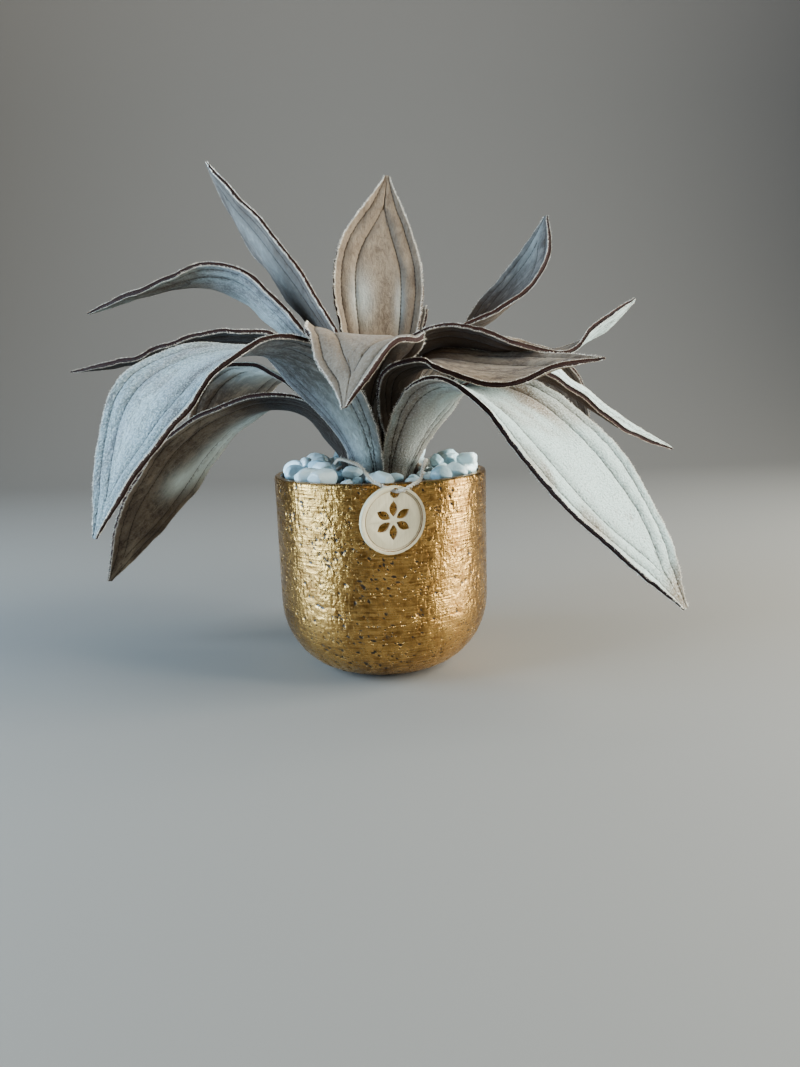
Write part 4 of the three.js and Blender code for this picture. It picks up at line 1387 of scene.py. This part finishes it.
def pebble_list():
    """Place, size, turn, tilt and shape of each stone: three rings of them, and some heaped on top."""
    draw = seeded(PEBBLE_SEED)
    stones = []
    for ring in PEBBLE_RINGS:
        for i in range(ring["count"]):
            angle = (i + 0.5 * draw()) / ring["count"] * 2 * math.pi
            r = ring["radius"] + 2 * (draw() - 0.5)
            x, y = r * math.cos(angle), r * math.sin(angle)
            full = ring["size"] * (0.86 + 0.24 * draw())
            clear = lane_distance(x, y) > full * 0.8 + TWINE_RADIUS + 0.6
            size = full if clear else LOW_PEBBLE
            z = BED_TOP + size * PEBBLE_FLATNESS - PEBBLE_SINK
            turn, tilt, shape = draw() * math.pi, 0.4 * (draw() - 0.5), draw() * 6
            stones.append((x, y, z, size, turn, tilt, shape))
    for x, y, z, size in HEAPED:
        turn, tilt, shape = draw() * math.pi, draw() - 0.5, draw() * 6
        stones.append((x, y, z, size, turn, tilt, shape))
    return stones


def stone(number, x, y, z, size, turn, tilt, shape):
    """One tumbled stone: a ball with its corners broken flat, then pressed and laid in its place."""
    detail = 4 if size > LARGE_PEBBLE else 3
    bpy.ops.mesh.primitive_ico_sphere_add(subdivisions=detail, radius=1.0)
    piece = newest(f"stone_{number}")
    p = points_of(piece) * MM
    swell = 1 + 0.1 * np.sin(3 * p[:, 0] + shape)
    swell += 0.08 * np.sin(4 * p[:, 1] - shape) * np.cos(3 * p[:, 2])
    p = p * swell[:, None]
    draw = np.random.default_rng(number + STONE["seed"])
    for _ in range(STONE["cuts"]):
        way = draw.normal(size=3)
        way /= np.linalg.norm(way)
        beyond = np.clip(p @ way - draw.uniform(*STONE["cut_at"]), 0, None)
        p = p - beyond[:, None] * way * STONE["flat"]
    uneven = 1.06 + 0.03 * waves(p[:, 0] + p[:, 2], p[:, 1], STONE["lengths"], number)
    p = p * uneven[:, None] * size
    p[:, 1] *= PEBBLE_DEPTH
    p[:, 2] *= PEBBLE_FLATNESS
    turned = Matrix.Rotation(turn, 3, "Z") @ Matrix.Rotation(tilt, 3, "X")
    p = p @ np.array(turned).T + (x, y, z)
    set_points(piece, p)
    return piece


class AGAVE_OT_stage(bpy.types.Operator):
    """Camera, floor and lamps"""

    bl_idname = "agave.stage"
    bl_label = "Stage"

    def execute(self, context):
        stage = context.scene.agave_stage
        self.camera(context)
        self.floor(stage)
        self.lamps(context, stage)
        return {"FINISHED"}

    def camera(self, context):
        yaw, pitch, roll = (math.radians(a) for a in (CAMERA_YAW, CAMERA_PITCH, CAMERA_ROLL))
        ahead = math.cos(pitch)
        forward = Vector((math.sin(yaw) * ahead, math.cos(yaw) * ahead, -math.sin(pitch)))
        level = Vector((math.cos(yaw), -math.sin(yaw), 0.0))
        above = level.cross(forward)
        right = level * math.cos(roll) - above * math.sin(roll)
        top = level * math.sin(roll) + above * math.cos(roll)
        turn = Matrix((right, top, -forward)).transposed().to_euler()
        bpy.ops.object.camera_add(location=CAMERA_PLACE, rotation=turn)
        camera = newest("camera")
        camera.data.sensor_width = SENSOR
        camera.data.lens = CAMERA_FOCAL * SENSOR
        camera.data.clip_start = 0.01
        context.scene.camera = camera

    def floor(self, stage):
        """A sweep: the floor, and a wall behind that it runs up into."""
        bpy.ops.mesh.primitive_plane_add(size=1, location=(0, 0, 0))
        floor = newest("floor")
        floor.scale = SWEEP["size"]
        floor.location = SWEEP["place"]
        settle(floor)
        for edge in floor.data.edges:
            edge.select = all(floor.data.vertices[v].co.y > SWEEP["back"] for v in edge.vertices)
        with edit_mode(floor):
            bpy.ops.mesh.select_mode(type="EDGE")
            bpy.ops.mesh.extrude_edges_move(TRANSFORM_OT_translate={"value": (0, 0, SWEEP["wall"])})
        bend = floor.modifiers.new("bend", "BEVEL")
        bend.width = SWEEP["bend"]
        bend.segments = 24
        apply_all(floor)
        shade(floor)
        floor.data.materials.append(stage_finish(stage))

    def lamps(self, context, stage):
        """The lamps, each aimed at its goal, and a dim sky."""
        for name, place, goal, wide, tall, color, power in LAMPS:
            aim = Vector(goal) - Vector(place)
            bpy.ops.object.light_add(
                type="AREA", location=place, rotation=aim.to_track_quat("-Z", "Y").to_euler()
            )
            lamp = newest(name)
            lamp.data.shape = "RECTANGLE"
            lamp.data.size = wide
            lamp.data.size_y = tall
            lamp.data.color = color
            lamp.data.energy = power * stage.light
        world = context.scene.world or bpy.data.worlds.new("studio")
        context.scene.world = world
        world.use_nodes = True
        background = world.node_tree.nodes["Background"]
        for name, value in SKY.items():
            background.inputs[name].default_value = value


class AGAVE_OT_twine(bpy.types.Operator):
    """The two-ply twine, once round the roots and through the tag"""

    bl_idname = "agave.twine"
    bl_label = "Twine"

    def execute(self, context):
        fibre = twine_finish(context.scene.agave_tag)
        line, along, side, up, distance = twine_line(TWINE_ROUTE)
        piece = twine_mesh(line, side, up, distance, fibre)
        finish_piece(piece, "jute", "twine")
        hairs = twine_hairs(line, along, side, up, fibre)
        finish_piece(hairs, "jute")
        distance[-1] * MM
        (line[::4] * MM).tolist() + [(line[-1] * MM).tolist()]
        return {"FINISHED"}


class AGAVE_OT_tag(bpy.types.Operator):
    """The round wooden tag with its raised rim and cut rosette"""

    bl_idname = "agave.tag"
    bl_label = "Tag"

    def execute(self, context):
        look = context.scene.agave_tag
        wood, burnt = wood_finish(look), burnt_finish(look)
        bpy.ops.mesh.primitive_cylinder_add(
            vertices=144, radius=TAG_RADIUS * MM, depth=TAG_THICKNESS * MM
        )
        disc = newest("tag_disc")
        disc.data.materials.append(wood)
        disc.data.materials.append(burnt)
        self.sink_field(disc)
        bpy.ops.mesh.primitive_cylinder_add(
            vertices=48, radius=TAG_HOLE["radius"] * MM, depth=TAG_THICKNESS * 3 * MM,
            location=(TAG_HOLE["across"] * MM, TAG_HOLE["up"] * MM, 0),
        )
        eye = newest("eye")
        eye.data.materials.append(burnt)
        cut(disc, eye)
        for i in range(ROSETTE["petals"]):
            angle = math.pi / 6 + i / ROSETTE["petals"] * 2 * math.pi
            cut(disc, petal_cutter(angle, burnt))
        edge = disc.modifiers.new("edge", "BEVEL")
        edge.width = 0.25 * MM
        edge.segments = 2
        edge.limit_method = "ANGLE"
        apply_all(disc)
        turn = Euler((math.pi / 2 + math.radians(TAG_LEAN), 0, 0)).to_matrix().to_4x4()
        turn = Matrix.Rotation(math.radians(TAG_TURN), 4, "Z") @ turn
        disc.matrix_world = Matrix.Translation([v * MM for v in TAG_CENTRE]) @ turn
        settle(disc)
        bpy.ops.object.shade_smooth_by_angle(angle=math.radians(30))
        finish_piece(disc, "tag_wood", "tag")
        return {"FINISHED"}

    def sink_field(self, disc):
        """Both faces are cut back inside the rim, with a fine ring groove."""
        with edit_mode(disc):
            bpy.ops.mesh.select_mode(type="FACE")
            bpy.ops.mesh.select_all(action="DESELECT")
        for face in disc.data.polygons:
            face.select = abs(face.normal.z) > 0.9
        with edit_mode(disc):
            for width, depth in TAG_STEPS:
                bpy.ops.mesh.inset(thickness=width * MM, depth=depth * MM, use_individual=True)
        for face in disc.data.polygons:
            middle = face.center.xy.length / MM
            face.material_index = int(abs(face.normal.z) < 0.9 and middle < TAG_RADIUS - 1)


class AGAVE_OT_pot(bpy.types.Operator):
    """The pitted gold pot"""

    bl_idname = "agave.pot"
    bl_label = "Pot"

    def execute(self, context):
        look = context.scene.agave_pot
        outside = pot_profile(POT_RADIUS, POT_FOOT_RADIUS, 0, POT_SHOULDER, 40)
        wall = [(0.001, 0), *outside, (POT_RADIUS, POT_HEIGHT - LIP_ROUND)]
        wall = spread_even(wall, POT_STEP)
        wall[0] = (0.0, 0.0)
        lip = [(POT_RADIUS - aside, POT_HEIGHT - down) for aside, down in LIP]
        inner = [(POT_RADIUS - POT_WALL, z) for z in INNER_LEVELS]
        inner += pot_profile(
            POT_RADIUS - POT_WALL, POT_FOOT_RADIUS - POT_WALL, POT_FLOOR, POT_SHOULDER, 10
        )[::-1]
        profile = [*wall, *lip, *inner, (0.0, POT_FLOOR)]
        piece = spun("gold_pot", profile, POT_SIDES, gold_finish(look))
        self.roughen(piece, look)
        finish_piece(piece, "gold", "pot")
        return {"FINISHED"}

    def roughen(self, piece, look):
        """Trowel marks, brushed ridges and pits in the outside, all cut inwards."""
        p = points_of(piece)
        r = np.hypot(p[:, 0], p[:, 1])
        normal = np.empty(len(p) * 3)
        piece.data.vertices.foreach_get("normal", normal)
        normal = normal.reshape(-1, 3)
        faces_in = (normal[:, :2] * p[:, :2]).sum(1) < -0.2 * r
        within = faces_in | ((normal[:, 2] > 0.4) & (p[:, 2] < POT_HEIGHT - 5))
        outer = ~within & (r > POT_FOOT_RADIUS + 1.0)
        drop = np.clip((POT_SHOULDER - p[:, 2]) / POT_SHOULDER, 0, 1)
        wrap = np.arctan2(p[:, 1], p[:, 0]) * POT_RADIUS
        rise = p[:, 2] - drop * 12 * (1 - r / POT_RADIUS)
        trowel = 0.5 + 0.5 * waves(wrap, rise * TROWEL["slant"], TROWEL["lengths"], TROWEL["seed"])
        ridges = 0.5 + 0.5 * waves(wrap * RIDGES["slant"], rise, RIDGES["lengths"], RIDGES["seed"])
        pit = self.pits(wrap, p[:, 2], look.pits)
        depth = TROWEL["depth"] * trowel + RIDGES["depth"] * ridges
        depth = (depth + pit * look.pit_depth / MM) * outer
        set_points(piece, p - normal * depth[:, None])
        paint(piece, "pit", pit * outer)
        paint(piece, "inside", within.astype(float))
        wrap_uv(piece, "wrap", np.stack([wrap, rise], 1) * MM)

    def pits(self, wrap, height, count):
        """How deep in a pit each point lies, from 0 to 1. The pits crowd together in places."""
        pit = np.zeros(len(wrap))
        draw = random.Random(PITS["seed"])
        half_turn = math.pi * POT_RADIUS
        for _ in range(count):
            x = draw.uniform(-math.pi, math.pi) * POT_RADIUS
            z = draw.uniform(PITS["lowest"], POT_HEIGHT - PITS["below_rim"])
            crowd = 0.5 + 0.5 * math.sin(x / 21 + 1.3) * math.sin(z / 37 + 0.4 * math.sin(x / 33))
            size = draw.choice(PITS["sizes"]) * (0.7 + 0.5 * crowd)
            if draw.random() > 0.25 + 0.75 * crowd:
                continue
            stretch = draw.uniform(*PITS["stretch"])
            aside = (wrap - x + half_turn) % (2 * half_turn) - half_turn
            above = height - z
            near = np.hypot(aside / stretch, above * stretch)
            ragged = near * (1 + PITS["ragged"] * np.sin(3 * np.arctan2(above, aside) + x))
            pit = np.maximum(pit, np.clip(1.25 - ragged / size, 0, 1))
        return pit


class AGAVE_OT_pebbles(bpy.types.Operator):
    """White stones round the roots, on a dark bed"""

    bl_idname = "agave.pebbles"
    bl_label = "Pebbles"

    def execute(self, context):
        finish = stone_finish(context.scene.agave_pebbles)
        draw = random.Random(TONE_SEED)
        stones = []
        for number, place in enumerate(pebble_list()):
            piece = stone(number, *place)
            self.keep_inside(piece)
            paint(piece, "tone", np.full(len(piece.data.vertices), draw.random()))
            piece.data.materials.append(finish)
            shade(piece)
            stones.append(piece)
        deselect()
        for piece in stones:
            piece.select_set(True)
        context.view_layer.objects.active = stones[0]
        bpy.ops.object.join()
        heap = newest("stones")
        settle(heap)
        finish_piece(heap, "pebble", "pebbles")
        self.bed()
        return {"FINISHED"}

    def keep_inside(self, piece):
        """Presses a stone in where it would reach through the pot's wall."""
        p = points_of(piece)
        r = np.hypot(p[:, 0], p[:, 1])
        over = np.clip(r - BED_RADIUS + 0.2, 0, None)
        p[:, :2] -= p[:, :2] / r[:, None] * (over * 0.97)[:, None]
        set_points(piece, p)

    def bed(self):
        """The grit that the stones sit in."""
        profile = [
            (BED_HOLE_RADIUS, ROOT_FOOT), (BED_RADIUS, ROOT_FOOT), (BED_RADIUS, BED_TOP - 1),
            *[(r, BED_TOP) for r in np.linspace(BED_RADIUS - 1, BED_HOLE_RADIUS + 1, 12)],
            (BED_HOLE_RADIUS, BED_TOP - 1), (BED_HOLE_RADIUS, ROOT_FOOT),
        ]
        bed = spun("grit_bed", profile, BED_SIDES, bed_finish())
        p = points_of(bed)
        top = p[:, 2] > BED_TOP - 0.5
        p[:, 2] -= top * (0.6 + 0.6 * waves(p[:, 0], p[:, 1], (4, 6, 9), 4))
        set_points(bed, p)
        finish_piece(bed, "pebble")


class AGAVE_OT_leaves(bpy.types.Operator):
    """All the velvet leaves with their seams and frayed edges"""

    bl_idname = "agave.leaves"
    bl_label = "Leaves"

    def execute(self, context):
        look = context.scene.agave_velvet
        velvet, fringe = velvet_finish(look), fringe_finish()
        for seed, leaf in enumerate(LEAVES):
            piece, blade, halves = leaf_mesh(leaf, seed, velvet)
            finish_piece(piece, "velvet", leaf["name"])
            name = leaf["name"].replace("leaf", "fringe")
            pile = pile_fringe(name, blade, halves, seed, fringe, look.fringe)
            finish_piece(pile, "velvet")
        return {"FINISHED"}


class AGAVE_OT_core(bpy.types.Operator):
    """Finishes of the filler and the wires, which keep their plain solids"""

    bl_idname = "agave.core"
    bl_label = "Filler and wires"

    def execute(self, context):
        foam, wire = foam_finish(), wire_finish()
        for name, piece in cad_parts.items():
            if name == "filler" or name.startswith("wire"):
                piece.data.materials.clear()
                piece.data.materials.append(foam if name == "filler" else wire)
        return {"FINISHED"}


class AGAVE_PT_panel(bpy.types.Panel):
    """Steps and settings of the agave"""

    bl_idname = "AGAVE_PT_panel"
    bl_label = "Agave"
    bl_space_type = "VIEW_3D"
    bl_region_type = "UI"
    bl_category = "Agave"

    def draw(self, context):
        for operator in STEPS:
            self.layout.operator(operator.bl_idname)
        for name, group in SETTINGS.items():
            box = self.layout.box()
            for key in group.__annotations__:
                box.prop(getattr(context.scene, name), key)


STEPS = (
    AGAVE_OT_stage, AGAVE_OT_tag, AGAVE_OT_twine, AGAVE_OT_pot,
    AGAVE_OT_pebbles, AGAVE_OT_leaves, AGAVE_OT_core,
)
SETTINGS = {
    "agave_pot": PotLook,
    "agave_velvet": VelvetLook,
    "agave_pebbles": PebbleLook,
    "agave_tag": TagLook,
    "agave_stage": Stage,
}
CLASSES = (*SETTINGS.values(), *STEPS, AGAVE_PT_panel)


def register():
    for kind in CLASSES:
        bpy.utils.register_class(kind)
    for name, group in SETTINGS.items():
        setattr(bpy.types.Scene, name, PointerProperty(type=group))


def unregister():
    for name in SETTINGS:
        delattr(bpy.types.Scene, name)
    for kind in reversed(CLASSES):
        bpy.utils.unregister_class(kind)


def main():
    register()
    deselect()
    bpy.ops.agave.stage()
    bpy.ops.agave.tag()
    bpy.ops.agave.twine()
    bpy.ops.agave.pot()
    bpy.ops.agave.pebbles()
    bpy.ops.agave.leaves()
    bpy.ops.agave.core()


if __name__ == "__main__":
    main()
